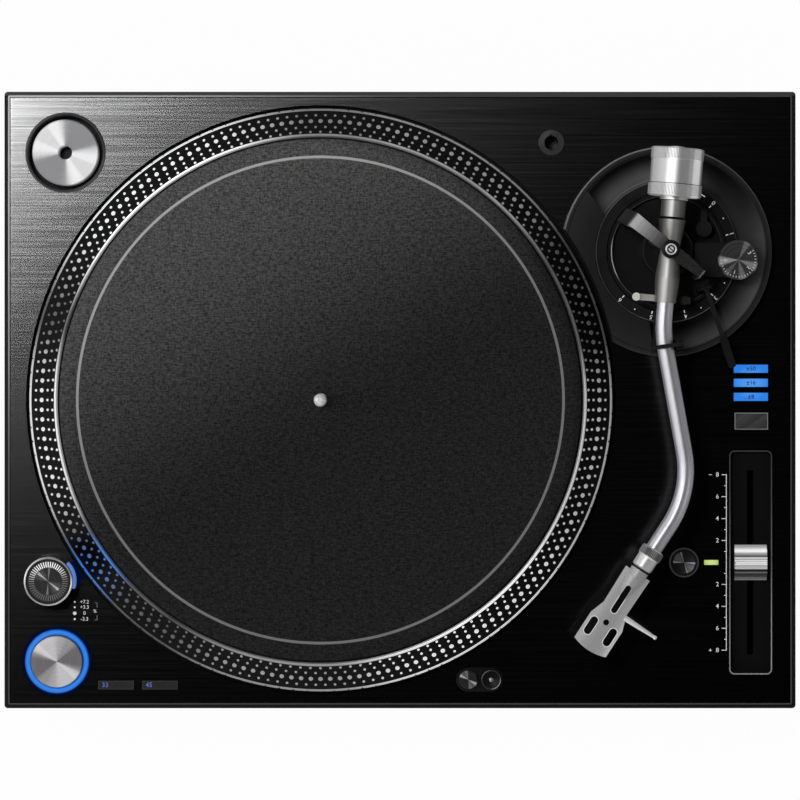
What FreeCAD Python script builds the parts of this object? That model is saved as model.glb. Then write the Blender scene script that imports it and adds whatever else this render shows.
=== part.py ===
import FreeCAD, Part
import math
import os

# A direct-drive DJ turntable with an S-shaped tonearm, in millimetres.
# +X is the player's right, +Y its rear and +Z up. The origin lies under the middle of the deck,
# on the surface that the feet stand on.

# Deck: feet, base shell, chassis and top panel, from the bottom up.
DECK_WIDTH = 453.0
DECK_DEPTH = 353.0
LEFT = -DECK_WIDTH / 2
RIGHT = DECK_WIDTH / 2
FRONT = -DECK_DEPTH / 2
REAR = DECK_DEPTH / 2
CORNER_RADIUS = 2.0
FOOT_HEIGHT = 22.0
BASE_HEIGHT = 32.0
BASE_WALL = 10.0
BASE_FLOOR = 8.0
CHASSIS_HEIGHT = 42.0
CHASSIS_WALL = 8.0
SKIN_THICKNESS = 7.0
PANEL_THICKNESS = 2.0
BORDER_WIDTH = 3.0
BORDER_BEVEL = 1.0

# Clearances: round shafts in their bores, fixed pieces in their cut-outs, caps in their holes.
RUNNING_GAP = 0.05
FIT_GAP = 0.15
CAP_GAP = 0.3

# Cutting tools reach past a face by REACH, and bodies that are one piece sink in by ROOT.
REACH = 1.0
ROOT = 0.5
SOFT_EDGE = 0.4
FINE_EDGE = 0.6

# Feet, screwed into bosses in the base shell.
FOOT_INSET = 42.0
FOOT_RADIUS = 24.0
FOOT_RIM = 3.0
SOLE_RADIUS = 20.0
SOLE_THICKNESS = 4.0
FOOT_STEM_RADIUS = 5.0
FOOT_STEM_LENGTH = 18.0
FOOT_BOSS_WALL = 4.0
FOOT_BOSS_ROOF = 3.0

# Case screws, from below through the base shell's walls into the chassis walls.
SCREW_HEAD_RADIUS = 3.4
SCREW_HEAD_HEIGHT = 3.0
SCREW_SHANK_RADIUS = 2.0
SCREW_BITE = 12.0
SCREW_INSET = 4.5
FRONT_SCREWS_X = (-120.0, 0.0, 120.0)
REAR_SCREWS_X = (-60.0, 40.0, 190.0)
SIDE_SCREWS_Y = 20.0

# Rear terminals, each in a bay cut into the base shell's rear.
BAY_DEPTH = 16.0
BAY_WALL = 4.0
PHONO_BAY_WIDTH = 70.0
PHONO_BAY_X = 118.0
MAINS_BAY_WIDTH = 56.0
MAINS_BAY_FROM_LEFT = 86.5
MAINS_BAY_X = LEFT + MAINS_BAY_FROM_LEFT
TERMINAL_RISE = 18.5
JACK_SPACING = 18.0
JACK_OFFSET = -14.0
JACK_RADIUS = 4.15
JACK_BORE = 1.6
JACK_LENGTH = 9.0
JACK_FLANGE_RADIUS = 5.8
JACK_FLANGE = 1.6
JACK_BODY_RADIUS = 5.0
JACK_BODY_LENGTH = 8.0
GROUND_OFFSET = 22.0
GROUND_SHANK = 2.0
GROUND_NUT_RADIUS = 4.5
GROUND_NUT_LENGTH = 8.0
GROUND_LENGTH = 10.0
INLET_FLANGE_WIDTH = 32.0
INLET_FLANGE_HEIGHT = 25.0
INLET_FLANGE = 2.0
INLET_BODY_WIDTH = 28.0
INLET_BODY_HEIGHT = 20.0
INLET_CAVITY_WIDTH = 24.0
INLET_CAVITY_HEIGHT = 16.0
INLET_CAVITY_DEPTH = 17.0
INLET_BACK = 3.0
INLET_PIN_LENGTH = 11.0
INLET_PIN_SPACING = 7.0
INLET_PIN_WIDTH = 2.0
INLET_PIN_HEIGHT = 4.0

# Electronics on the base shell's floor.
TRANSFORMER_OFFSET = -10.0
TRANSFORMER_FROM_REAR = 71.5
TRANSFORMER_CENTRE = (MAINS_BAY_X + TRANSFORMER_OFFSET, REAR - TRANSFORMER_FROM_REAR)
TRANSFORMER_SIZE = (58.0, 48.0)
CORE_HEIGHT = 34.0
CORE_LIMB = 11.0
WINDING_HEIGHT = 24.0
BOARD_CENTRE = (86.0, -75.0)
BOARD_SIZE = (170.0, 110.0)
BOARD_THICKNESS = 1.6
BOARD_LIFT = 8.0
BOARD_CHIP_PLACES = ((-45.0, 15.0), (5.0, 20.0), (40.0, -20.0))
BOARD_CHIP_SIZES = ((22.0, 22.0), (14.0, 20.0), (30.0, 12.0))
BOARD_CHIP_HEIGHTS = (2.4, 2.4, 9.0)
BOARD_CANS = ((-60.0, -35.0), (-44.0, -35.0), (-28.0, -35.0))
BOARD_CAN_RADIUS = 6.0
BOARD_CAN_HEIGHT = 10.0
STANDOFF_RADIUS = 3.0
STANDOFF_INSET = 6.0

# Platter, turning about the spindle.
SPINDLE_FROM_LEFT = 181.2
SPINDLE_X = LEFT + SPINDLE_FROM_LEFT
SPINDLE_Y = 0.0
PLATTER_MARGIN = 10.0
PLATTER_RADIUS = DECK_DEPTH / 2 - PLATTER_MARGIN
WELL_GAP = 2.3
WELL_DEPTH = 10.0
WELL_WALL = 4.2
PLATTER_LIFT = 4.0
RIM_SIDE = 11.5
OUTER_RING_WIDTH = 1.9
DOT_BAND_WIDTH = 13.0
DOT_BAND_RISE = 11.1
INNER_RING_WIDTH = 2.1
INNER_RING_RISE = 1.0
RIM_WALL = 13.5
MAT_RECESS_DEPTH = 2.0
WEB_THICKNESS = 5.0
HUB_RADIUS = 14.0
MAGNET_INNER = 44.0
MAGNET_OUTER = 58.0
MAGNET_HEIGHT = 18.0
MAGNET_SEAT_DROP = 24.5
MAT_GAP = 0.6
MAT_THICKNESS = 2.3
MAT_HOLE_GAP = 0.3

# Spindle, its bearing and the motor's stator, all in a cup that hangs from the chassis.
SPINDLE_RADIUS = 3.6
SPINDLE_NECK_RADIUS = 3.3
SPINDLE_NECK_PROUD = 0.3
SPINDLE_SHAFT_RADIUS = 5.0
SPINDLE_EXPOSED = 15.5
SPINDLE_TIP = 2.0
MOTOR_CUP_RADIUS = 62.0
MOTOR_CUP_DEPTH = 24.0
MOTOR_CUP_WALL = 4.0
BEARING_RADIUS = 10.0
BEARING_FLANGE_RADIUS = 16.0
BEARING_FLANGE = 3.0
BEARING_HEIGHT = 24.0
THRUST_PLATE = 2.0
STATOR_RADIUS = 43.0
STATOR_CORE_HEIGHT = 6.0
STATOR_HUB_WALL = 8.0
STATOR_LIFT = 6.0
STATOR_POLES = 9
POLE_WIDTH = 5.0
POLE_SHOE = 4.0
POLE_SHOE_WIDTH = 20.0
COIL_WIDTH = 11.0
COIL_HEIGHT = 12.0
COIL_LENGTH = 14.0

# 45 rpm adapter and the cup it lies in.
ADAPTER_FROM_LEFT = 35.0
ADAPTER_FROM_REAR = 34.9
ADAPTER_CENTRE = (LEFT + ADAPTER_FROM_LEFT, REAR - ADAPTER_FROM_REAR)
ADAPTER_RADIUS = 18.9
ADAPTER_BORE = 3.83
ADAPTER_HEIGHT = 13.5
ADAPTER_CUP_RADIUS = 21.0
ADAPTER_CUP_WALL = 1.2
ADAPTER_CUP_DEPTH = 12.0
ADAPTER_CUP_FLOOR = 2.0
ADAPTER_FLANGE_RADIUS = 23.1
ADAPTER_FLANGE = 1.2

# Headshell stand: a bush in the panel for a spare headshell.
STAND_FROM_SPINDLE = 131.9
STAND_FROM_REAR = 29.2
STAND_CENTRE = (SPINDLE_X + STAND_FROM_SPINDLE, REAR - STAND_FROM_REAR)
STAND_FLANGE_RADIUS = 7.3
STAND_FLANGE = 0.8
STAND_BORE = 4.0
STAND_WALL = 1.7
STAND_DEPTH = 18.0
STAND_FLOOR = 2.0
STAND_KEY_WIDTH = 2.0
STAND_KEY_DEPTH = 4.0

# Strobe lamp tower with the power knob on top.
TOWER_FROM_LEFT = 26.4
TOWER_FROM_FRONT = 73.3
TOWER_CENTRE = (LEFT + TOWER_FROM_LEFT, FRONT + TOWER_FROM_FRONT)
TOWER_RADIUS = 13.4
TOWER_HEIGHT = 14.0
LENS_RADIUS = 14.9
LENS_FROM = -18.0
LENS_TO = 45.0
LENS_HEIGHT = 11.0
POWER_KNOB_RADIUS = 13.8
POWER_KNOB_HEIGHT = 8.0
POWER_KNOB_RIM = 1.3
POWER_KNOB_DISH = 0.8
POWER_STEM_RADIUS = 4.0
POWER_STEM_LENGTH = 10.0

# Start/stop button inside its light ring.
START_FROM_LEFT = 30.2
START_FROM_FRONT = 26.9
START_CENTRE = (LEFT + START_FROM_LEFT, FRONT + START_FROM_FRONT)
START_RADIUS = 14.7
START_RING_OUTER = 18.3
START_RING_HEIGHT = 3.2
START_CAP_HEIGHT = 4.6
START_STEM_RADIUS = 4.0

# Speed buttons, reset button, range button and the button beside the stylus light.
SPEED_FROM_LEFT = (64.0, 89.1)
SPEED_FROM_FRONT = 13.4
SPEED_CENTRES = tuple((LEFT + inset, FRONT + SPEED_FROM_FRONT) for inset in SPEED_FROM_LEFT)
SPEED_SIZE = (20.7, 5.2)
SPEED_CAP_HEIGHT = 2.4
FADER_FROM_FRONT = 83.5
FADER_Y = FRONT + FADER_FROM_FRONT
RESET_FROM_RIGHT = 64.0
RESET_CENTRE = (RIGHT - RESET_FROM_RIGHT, FADER_Y)
RESET_RADIUS = 8.5
RESET_DISH_RADIUS = 6.3
RESET_CAP_HEIGHT = 3.4
RANGE_FROM_RIGHT = 25.5
RANGE_FROM_FADER = 80.9
RANGE_CENTRE = (RIGHT - RANGE_FROM_RIGHT, FADER_Y + RANGE_FROM_FADER)
RANGE_SIZE = (19.2, 9.8)
RANGE_CAP_HEIGHT = 2.6
BUTTON_DISH = 0.8
BUTTON_STEM_RADIUS = 2.5
BUTTON_STEM_LENGTH = 14.0
BUTTON_TRAVEL = 1.0
START_TRAVEL = 1.5
CAP_SLACK = 0.5
SWITCH_SIZE = 10.4
SWITCH_HEIGHT = 11.0

# Stylus light: a post that pops up out of a bezel that it shares with its release button.
LIGHT_FROM_SPINDLE = 84.4
LIGHT_FROM_FRONT = 16.5
LIGHT_CENTRE = (SPINDLE_X + LIGHT_FROM_SPINDLE, FRONT + LIGHT_FROM_FRONT)
LIGHT_BUTTON_SPACING = 13.0
LIGHT_RADIUS = 5.3
LIGHT_LENGTH = 41.5
LIGHT_PROUD = 3.5
LIGHT_WINDOW_WIDTH = 5.0
LIGHT_WINDOW_HEIGHT = 5.0
LIGHT_WINDOW_DEPTH = 2.0
LIGHT_WINDOW_DROP = 3.0
BEZEL_LENGTH = 26.7
BEZEL_WIDTH = 13.6
BEZEL_RISE = 1.2
SLEEVE_WALL = 1.4
SLEEVE_LENGTH = 28.0
LIGHT_BUTTON_RADIUS = 5.7
LIGHT_BUTTON_DISH_RADIUS = 4.5
LIGHT_BUTTON_CAP_HEIGHT = 4.2

# Tempo fader: tray, slide potentiometer, knob and centre lamp.
FADER_FROM_RIGHT = 25.8
FADER_CENTRE = (RIGHT - FADER_FROM_RIGHT, FADER_Y)
FADER_TRAY_SIZE = (24.5, 128.2)
FADER_TRAY_WALL = 1.0
FADER_TRAY_FLOOR = 1.4
FADER_TRAY_DEPTH = 3.2
FADER_TRAY_LIP = 0.4
FADER_TRAY_CORNER = 3.0
FADER_TRAVEL = 50.3
FADER_SLOT_WIDTH = 3.6
FADER_KNOB_SIZE = (18.2, 20.2)
FADER_KNOB_LIFT = 1.0
FADER_KNOB_HEIGHT = 10.5
FADER_KNOB_BEVEL = 2.5
FADER_STEM_WIDTH = 2.4
FADER_STEM_LENGTH = 4.0
FADER_SHOE_SIZE = (8.0, 12.0)
FADER_SHOE_HEIGHT = 3.0
FADER_TRACK_WIDTH = 14.0
FADER_TRACK_HEIGHT = 14.0
FADER_TRACK_WALL = 2.0
LAMP_FROM_RIGHT = 48.3
LAMP_CENTRE = (RIGHT - LAMP_FROM_RIGHT, FADER_Y)
LAMP_SIZE = (8.0, 2.7)
LAMP_PROUD = 0.3

# Range indicators: three lit windows in a column.
WINDOW_FROM_RIGHT = 25.6
WINDOW_FROM_FADER = 110.9
WINDOW_X = RIGHT - WINDOW_FROM_RIGHT
WINDOW_TOP_Y = FADER_Y + WINDOW_FROM_FADER
WINDOW_PITCH = 8.05
WINDOW_COUNT = 3
WINDOW_SIZE = (19.4, 4.65)

# Tonearm base: a dished ring about the arm's pivot, cut by an arc that clears the platter.
PIVOT_FROM_SPINDLE = 197.7
PIVOT_X = SPINDLE_X + PIVOT_FROM_SPINDLE
PIVOT_Y = 84.8
ARM_BASE_RADIUS = 60.0
ARM_BASE_RIM = 2.4
ARM_BASE_HEIGHT = 8.0
ARM_BASE_DISH = 2.3
ARM_BASE_LEDGE = 1.4
ARM_BASE_PLATTER_GAP = 3.7
ARM_BASE_CLEAR_RADIUS = PLATTER_RADIUS + ARM_BASE_PLATTER_GAP
PLATEAU_DROP = 0.4
PLATEAU_LINE_REAR = ((-36.0, 21.8), (-45.6, 35.0))
PLATEAU_LINE_FRONT = ((-10.0, -40.6), (-7.3, -58.8))
PLATEAU_INSIDE = -0.6
PLATEAU_OUTSIDE = 1.6
PLATEAU_CORNERS = ((-110.0, 40.0), (-110.0, -100.0))
HEIGHT_RING_OUTER = 40.8
HEIGHT_RING_INNER = 34.3
HEIGHT_RING_HEIGHT = 4.5
HEIGHT_RING_SEAT = 1.0
GUIDE_WALL = 3.1
GUIDE_DEPTH = 18.0

# Arm carrier: the cup that rises to set the arm's height.
CARRIER_RADIUS = 33.8
CARRIER_WALL = 2.4
CARRIER_RIM = 7.0
CARRIER_FLOOR = 2.5
CARRIER_SKIRT = 14.0
BOSS_RADIUS = 14.6
BOSS_HEIGHT = 17.5
BOSS_BEVEL = 1.0
BOSS_NECK_RADIUS = 7.0
PIVOT_BORE_DEPTH = 6.0

# Bearing bridge and gimbal. Headings are degrees about +Z from +X.
ARM_LIFT = 44.0
ARM_HEADING = -94.7
BRIDGE_HEADING = 141.3
GIMBAL_OUTER = 12.5
GIMBAL_INNER = 9.5
GIMBAL_WIDTH = 6.0
PIVOT_PIN_RADIUS = 2.0
TRUNNION_RADIUS = 1.5
TRUNNION_GRIP = 1.5
BRIDGE_GAP = 0.5
BRIDGE_THICKNESS = 2.6
BRIDGE_BEVEL = 2.0
BRIDGE_SHORT_TAPER = -9.0
BRIDGE_LONG_TAPER = 6.0
BRIDGE_CAP_RADIUS = 4.75
BRIDGE_CAP_HEIGHT = 1.4
BRIDGE_HUB_RADIUS = 5.3
BRIDGE_LONG_REACH = 33.4
BRIDGE_LONG_FLAT = 27.0
BRIDGE_LONG_KNEE = 13.0
BRIDGE_SHORT_REACH = 22.8
BRIDGE_LEG_THICKNESS = 3.2
BRIDGE_MID_WIDTH = 7.2
BRIDGE_LONG_WIDTH = 8.8
BRIDGE_SHORT_WIDTH = 5.0

# Arm barrel: a turned body on the arm's axis. Stations are forward of the pivot.
REAR_SHAFT_END = -58.6
REAR_SHAFT_RADIUS = 4.0
REAR_STUB_END = -27.8
REAR_STUB_RADIUS = 7.0
GROOVE_END = -18.6
GROOVE_FRONT = -17.2
GROOVE_RADIUS = 6.6
BARREL_REAR_RADIUS = 7.6
BARREL_WAIST_RADIUS = 5.2
BARREL_BULGE = 16.0
BARREL_BULGE_RADIUS = 7.0
BARREL_FRONT = 30.0
BARREL_FRONT_RADIUS = 5.9
BARREL_CROWN = 0.12

# S-shaped tube: three straight runs and two bends, up to the locking collar.
TUBE_RADIUS = 4.7
TUBE_WALL = 0.9
TUBE_START = 20.0
TUBE_RUN_1 = 47.7
TUBE_HEADING_2 = -79.8
TUBE_RUN_2 = 90.3
TUBE_HEADING_3 = -123.0
TUBE_RUN_3 = 38.7
TUBE_BEND_1 = 76.0
TUBE_BEND_2 = 57.0
SOCKET_BORE = 4.05
SOCKET_DEPTH = 13.0
SOCKET_TAIL = 11.0

# Locking collar and headshell, measured along the headshell's axis from the collar's start.
COLLAR_LENGTH = 13.0
COLLAR_KNURL_LENGTH = 5.6
COLLAR_KNURL_RADIUS = 6.4
COLLAR_RADIUS = 6.0
PLUG_RADIUS = 4.0
PLUG_START = -1.0
NECK_START = 13.3
NECK_RADIUS = 5.4
SHELL_START = 16.5
SHELL_REAR_WIDTH = 15.8
SHELL_WAIST_START = 40.0
SHELL_WAIST_WIDTH = 14.8
SHELL_FLARE = 49.0
SHELL_WIDTH = 21.0
SHELL_FRONT = 66.2
SHELL_FRONT_BULGE = 2.0
SHELL_THICKNESS = 2.2
SHELL_FLANGE_DEPTH = 3.6
SHELL_FLANGE_WALL = 1.4
SHELL_BACK_LENGTH = 3.0
SHELL_RAMP_END = 38.0
SHELL_SLOT = (25.0, 43.0, 3.6)
CARTRIDGE_SLOT = (49.9, 61.1, 4.5)
CARTRIDGE_SLOT_OFFSET = 6.35
SHELL_HOLE_X = 49.5
SHELL_HOLE_RADIUS = 1.7
LIFT_X = 41.7
LIFT_LENGTH = 20.4
LIFT_ROOT_RADIUS = 1.7
LIFT_TIP_RADIUS = 0.9
LIFT_BALL_RADIUS = 1.2

# Counterweight, its threaded bush and the stylus-force dial, behind the pivot.
WEIGHT_REAR = -57.6
WEIGHT_KNURL_END = -51.2
WEIGHT_FRONT = -37.4
WEIGHT_RADIUS = 14.6
WEIGHT_KNURL_RADIUS = 14.85
WEIGHT_HUB_RADIUS = 10.0
DIAL_FRONT = -30.2
DIAL_RADIUS = 15.1
DIAL_AXIAL_GAP = 0.3
BUSH_FRONT = -28.2
BUSH_REAR = -55.0
BUSH_RADIUS = 8.0

# Arm rest and its clamp, placed at a distance along the tube from the pivot.
REST_DISTANCE = 54.5
REST_SEAT_GAP = 0.3
REST_GROOVE = 1.2
REST_LENGTH = 5.8
REST_LEFT = 7.5
REST_LEFT_THICKNESS = 2.0
REST_RIGHT = 5.9
REST_RIGHT_THICKNESS = 4.3
REST_SEAT_THICKNESS = 7.0
REST_POST_WIDTH = 8.0
CLAMP_PIVOT_OFFSET = 8.0
CLAMP_PIVOT_RISE = 2.0
CLAMP_EYE_RADIUS = 2.0
CLAMP_PIN_RADIUS = 1.0
CLAMP_WIDTH = 2.3
CLAMP_SLOT_GAP = 0.2
CLAMP_TUBE_GAP = 0.4
CLAMP_THICKNESS = 1.9
CLAMP_ARM_WIDTH = 2.8
BRACKET_LIFT = 8.6
BRACKET_THICKNESS = 3.4
BRACKET_WIDTH = 8.0
BRACKET_START = 26.0
BRACKET_FOOT = 5.0

# Arm lift: a piston in a cylinder on the carrier, with a bar across the arm.
LIFT_STATION = 27.6
LIFT_PISTON_OFFSET = 11.0
LIFT_PISTON_RADIUS = 2.5
LIFT_CYLINDER_RADIUS = 4.0
LIFT_CYLINDER_HEIGHT = 21.5
LIFT_PISTON_LENGTH = 24.0
LIFT_BAR_LEFT = 16.2
LIFT_BAR_RIGHT = 14.5
LIFT_BAR_WIDTH = 3.6
LIFT_BAR_THICKNESS = 2.0
LIFT_BAR_DROP = 11.5
LIFT_STOP_RADIUS = 2.3
LIFT_STOP_PROUD = 1.0

# Cue lever, on two ears of the carrier. Places are from the arm's pivot.
LEVER_CENTRE = (21.3, -19.3)
LEVER_HEADING = -71.7
LEVER_RISE = 13.0
LEVER_HUB_RADIUS = 3.0
LEVER_HUB_WIDTH = 6.0
LEVER_PIN_RADIUS = 1.2
LEVER_EAR_THICKNESS = 2.0
LEVER_EAR_LENGTH = 5.0
LEVER_EAR_GAP = 0.15
LEVER_ARM_LENGTH = 32.0
LEVER_ARM_WIDTH = 2.6
LEVER_ARM_THICKNESS = 2.4
LEVER_CLIMB = 6.0
LEVER_HANDLE_LENGTH = 17.5
LEVER_HANDLE_WIDTH = 4.4
LEVER_HANDLE_THICKNESS = 3.2
LEVER_HANDLE_CORNER = 1.2

# Anti-skate box and dial, and the height lock, from the arm's pivot.
SKATE_PLATE = ((15.5, 4.7), (40.0, 4.7), (40.0, -14.8), (20.6, -14.8), (20.6, -9.2), (15.5, -9.2))
SKATE_FOOT = ((19.0, 3.5), (29.0, 3.5), (29.0, -8.5), (19.0, -8.5))
SKATE_LIFT = 10.0
SKATE_THICKNESS = 6.0
SKATE_DIAL_CENTRE = (39.7, -5.2)
SKATE_DIAL_RADIUS = 11.2
SKATE_DIAL_HEIGHT = 8.0
SKATE_SEAT_RADIUS = 8.5
SKATE_SEAT_RISE = 3.0
SKATE_PIN_RADIUS = 2.0
SKATE_PIN_LENGTH = 5.0
LOCK_CENTRE = (21.0, 12.9)
LOCK_RADIUS = 4.6
LOCK_POST_RADIUS = 3.0
LOCK_POST_HEIGHT = 5.5
LOCK_PIN_RADIUS = 1.4
LOCK_THICKNESS = 3.0
LOCK_HANDLE_LENGTH = 10.5
LOCK_HANDLE_WIDTH = 3.6

# Levels that follow from the sizes above.
BASE_BOTTOM = FOOT_HEIGHT
BASE_FLOOR_TOP = BASE_BOTTOM + BASE_FLOOR
BASE_TOP = BASE_BOTTOM + BASE_HEIGHT
SKIN_TOP = BASE_TOP + CHASSIS_HEIGHT
SKIN_BOTTOM = SKIN_TOP - SKIN_THICKNESS
DECK_TOP = SKIN_TOP + PANEL_THICKNESS
WELL_FLOOR = DECK_TOP - WELL_DEPTH
WELL_RADIUS = PLATTER_RADIUS + WELL_GAP
CUP_FLOOR = WELL_FLOOR - MOTOR_CUP_DEPTH
PLATTER_BOTTOM = WELL_FLOOR + PLATTER_LIFT
RIM_TOP = PLATTER_BOTTOM + RIM_SIDE + OUTER_RING_WIDTH + DOT_BAND_RISE + INNER_RING_RISE
DOT_BAND_OUTER = PLATTER_RADIUS - OUTER_RING_WIDTH
DOT_BAND_INNER = DOT_BAND_OUTER - DOT_BAND_WIDTH
MAT_RECESS_RADIUS = DOT_BAND_INNER - INNER_RING_WIDTH
MAT_SEAT = RIM_TOP - MAT_RECESS_DEPTH
WEB_BOTTOM = MAT_SEAT - WEB_THICKNESS
MAGNET_TOP = WEB_BOTTOM - MAGNET_SEAT_DROP
BEARING_TOP = CUP_FLOOR + BEARING_HEIGHT
SPINDLE_BOTTOM = CUP_FLOOR + THRUST_PLATE
RING_SEAT = DECK_TOP + HEIGHT_RING_SEAT
CARRIER_BASE = RING_SEAT
CARRIER_DECK = CARRIER_BASE + CARRIER_FLOOR
CARRIER_TOP = CARRIER_BASE + CARRIER_RIM
ARM_AXIS = DECK_TOP + ARM_LIFT
BRIDGE_UNDERSIDE = ARM_AXIS + GIMBAL_OUTER + BRIDGE_GAP
BRIDGE_TOP = BRIDGE_UNDERSIDE + BRIDGE_THICKNESS
BOSS_TOP = ARM_AXIS - GIMBAL_OUTER - CAP_GAP
TRAY_FLOOR_TOP = DECK_TOP - FADER_TRAY_DEPTH
TRAY_BOTTOM = TRAY_FLOOR_TOP - FADER_TRAY_FLOOR
TOWER_TOP = DECK_TOP + TOWER_HEIGHT

SPINDLE = (SPINDLE_X, SPINDLE_Y)
PIVOT = (PIVOT_X, PIVOT_Y)
LIGHT_BUTTON_CENTRE = (LIGHT_CENTRE[0] + LIGHT_BUTTON_SPACING, LIGHT_CENTRE[1])


def vector(x, y, z=0.0):
    """A point or a direction."""
    return FreeCAD.Vector(x, y, z)


def block(x_from, x_to, y_from, y_to, z_from, z_to):
    """A box between two corners."""
    return Part.makeBox(x_to - x_from, y_to - y_from, z_to - z_from, vector(x_from, y_from, z_from))


def slab(centre, size, z_from, z_to):
    """A box centred on a point of the plan."""
    half_x = size[0] / 2
    half_y = size[1] / 2
    return block(centre[0] - half_x, centre[0] + half_x, centre[1] - half_y, centre[1] + half_y,
                 z_from, z_to)


def disc(centre, radius, z_from, z_to):
    """An upright cylinder."""
    return Part.makeCylinder(radius, z_to - z_from, vector(centre[0], centre[1], z_from))


def ring(centre, outer, inner, z_from, z_to):
    """An upright ring."""
    return disc(centre, outer, z_from, z_to).cut(disc(centre, inner, z_from, z_to))


def rod(start, direction, radius, length):
    """A cylinder from a point along a direction."""
    return Part.makeCylinder(radius, length, start, direction)


def plate(points, z_from, z_to):
    """A prism on a polygon of the plan."""
    corners = [vector(x, y, z_from) for x, y in points]
    face = Part.Face(Part.makePolygon(corners + corners[:1]))
    return face.extrude(vector(0, 0, z_to - z_from))


def turned(profile, centre=(0.0, 0.0)):
    """A body turned about the upright axis, from (radius, height) points."""
    corners = [vector(radius, 0, height) for radius, height in profile]
    face = Part.Face(Part.makePolygon(corners + corners[:1]))
    solid = face.revolve(vector(0, 0, 0), vector(0, 0, 1), 360)
    return solid.translated(vector(centre[0], centre[1], 0))


def stadium(centre, length, width, z_from, z_to):
    """A slot shape that runs along X, with round ends."""
    radius = width / 2
    half = length / 2 - radius
    body = slab(centre, (2 * half, width), z_from, z_to)
    for side in (-half, half):
        body = body.fuse(disc((centre[0] + side, centre[1]), radius, z_from, z_to))
    return body.removeSplitter()


def rounded_slab(centre, size, radius, z_from, z_to):
    """A box with its upright edges rounded."""
    return fillet_upright(slab(centre, size, z_from, z_to), radius)


def fillet_upright(shape, radius):
    """The shape with its upright edges rounded."""
    edges = [edge for edge in shape.Edges if is_upright(edge)]
    return shape.makeFillet(radius, edges)


def is_upright(edge):
    """Whether an edge runs straight up."""
    start, end = edge.Vertexes[0].Point, edge.Vertexes[-1].Point
    return abs(start.x - end.x) < 1e-6 and abs(start.y - end.y) < 1e-6 and abs(start.z - end.z) > 1e-6


def chamfer_level(shape, height, size):
    """Chamfers every edge that lies at one height."""
    edges = []
    for edge in shape.Edges:
        bounds = edge.BoundBox
        if abs(bounds.ZMin - height) < 1e-6 and abs(bounds.ZMax - height) < 1e-6:
            edges.append(edge)
    return shape.makeChamfer(size, edges)


def fused(shapes):
    """Several shapes joined into one, without inner faces."""
    first = shapes[0]
    return first.fuse(shapes[1:]).removeSplitter()


def heading_vector(heading):
    """The plan direction of a heading in degrees."""
    angle = math.radians(heading)
    return vector(math.cos(angle), math.sin(angle))


def turn_and_move(shape, heading, origin):
    """Turns a shape that was made along +X to a heading and moves it to a place."""
    placed = shape.copy()
    placed.rotate(vector(0, 0, 0), vector(0, 0, 1), heading)
    placed.translate(origin)
    return placed


def at_pivot(shape, heading=ARM_HEADING):
    """Places a shape that was made about the arm's pivot, on the deck's own levels."""
    return turn_and_move(shape, heading, vector(PIVOT_X, PIVOT_Y, 0))


def from_pivot(point):
    """The plan place of a point given from the arm's pivot."""
    return (PIVOT_X + point[0], PIVOT_Y + point[1])


def on_axis(profile):
    """A body turned about the arm's axis, from (station, radius) points, before it is placed."""
    corners = [vector(station, 0, radius) for station, radius in profile]
    face = Part.Face(Part.makePolygon(corners + corners[:1]))
    solid = face.revolve(vector(0, 0, 0), vector(1, 0, 0), 360)
    return solid.translated(vector(0, 0, ARM_AXIS))


def foot_places():
    """Plan places of the four feet, by corner."""
    x = DECK_WIDTH / 2 - FOOT_INSET
    y = DECK_DEPTH / 2 - FOOT_INSET
    return {"front_left": (-x, -y), "front_right": (x, -y), "rear_left": (-x, y), "rear_right": (x, y)}


def screw_places():
    """Plan places of the case screws."""
    y = DECK_DEPTH / 2 - SCREW_INSET
    x = DECK_WIDTH / 2 - SCREW_INSET
    places = [(front, -y) for front in FRONT_SCREWS_X]
    places += [(rear, y) for rear in REAR_SCREWS_X]
    places += [(side * x, SIDE_SCREWS_Y) for side in (-1, 1)]
    return places


def standoff_places():
    """Plan places of the board's standoffs."""
    half_x = BOARD_SIZE[0] / 2 - STANDOFF_INSET
    half_y = BOARD_SIZE[1] / 2 - STANDOFF_INSET
    return [(BOARD_CENTRE[0] + sx * half_x, BOARD_CENTRE[1] + sy * half_y)
            for sx in (-1, 1) for sy in (-1, 1)]


def phono_points():
    """Plan x of the two phono jacks."""
    middle = PHONO_BAY_X + JACK_OFFSET
    return (middle - JACK_SPACING / 2, middle + JACK_SPACING / 2)


def bay_back():
    """Plan y of the rear face of the terminal bays' back walls."""
    return DECK_DEPTH / 2 - BAY_DEPTH


def terminal_level():
    """Height of the rear terminals' axes."""
    return BASE_BOTTOM + TERMINAL_RISE


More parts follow.
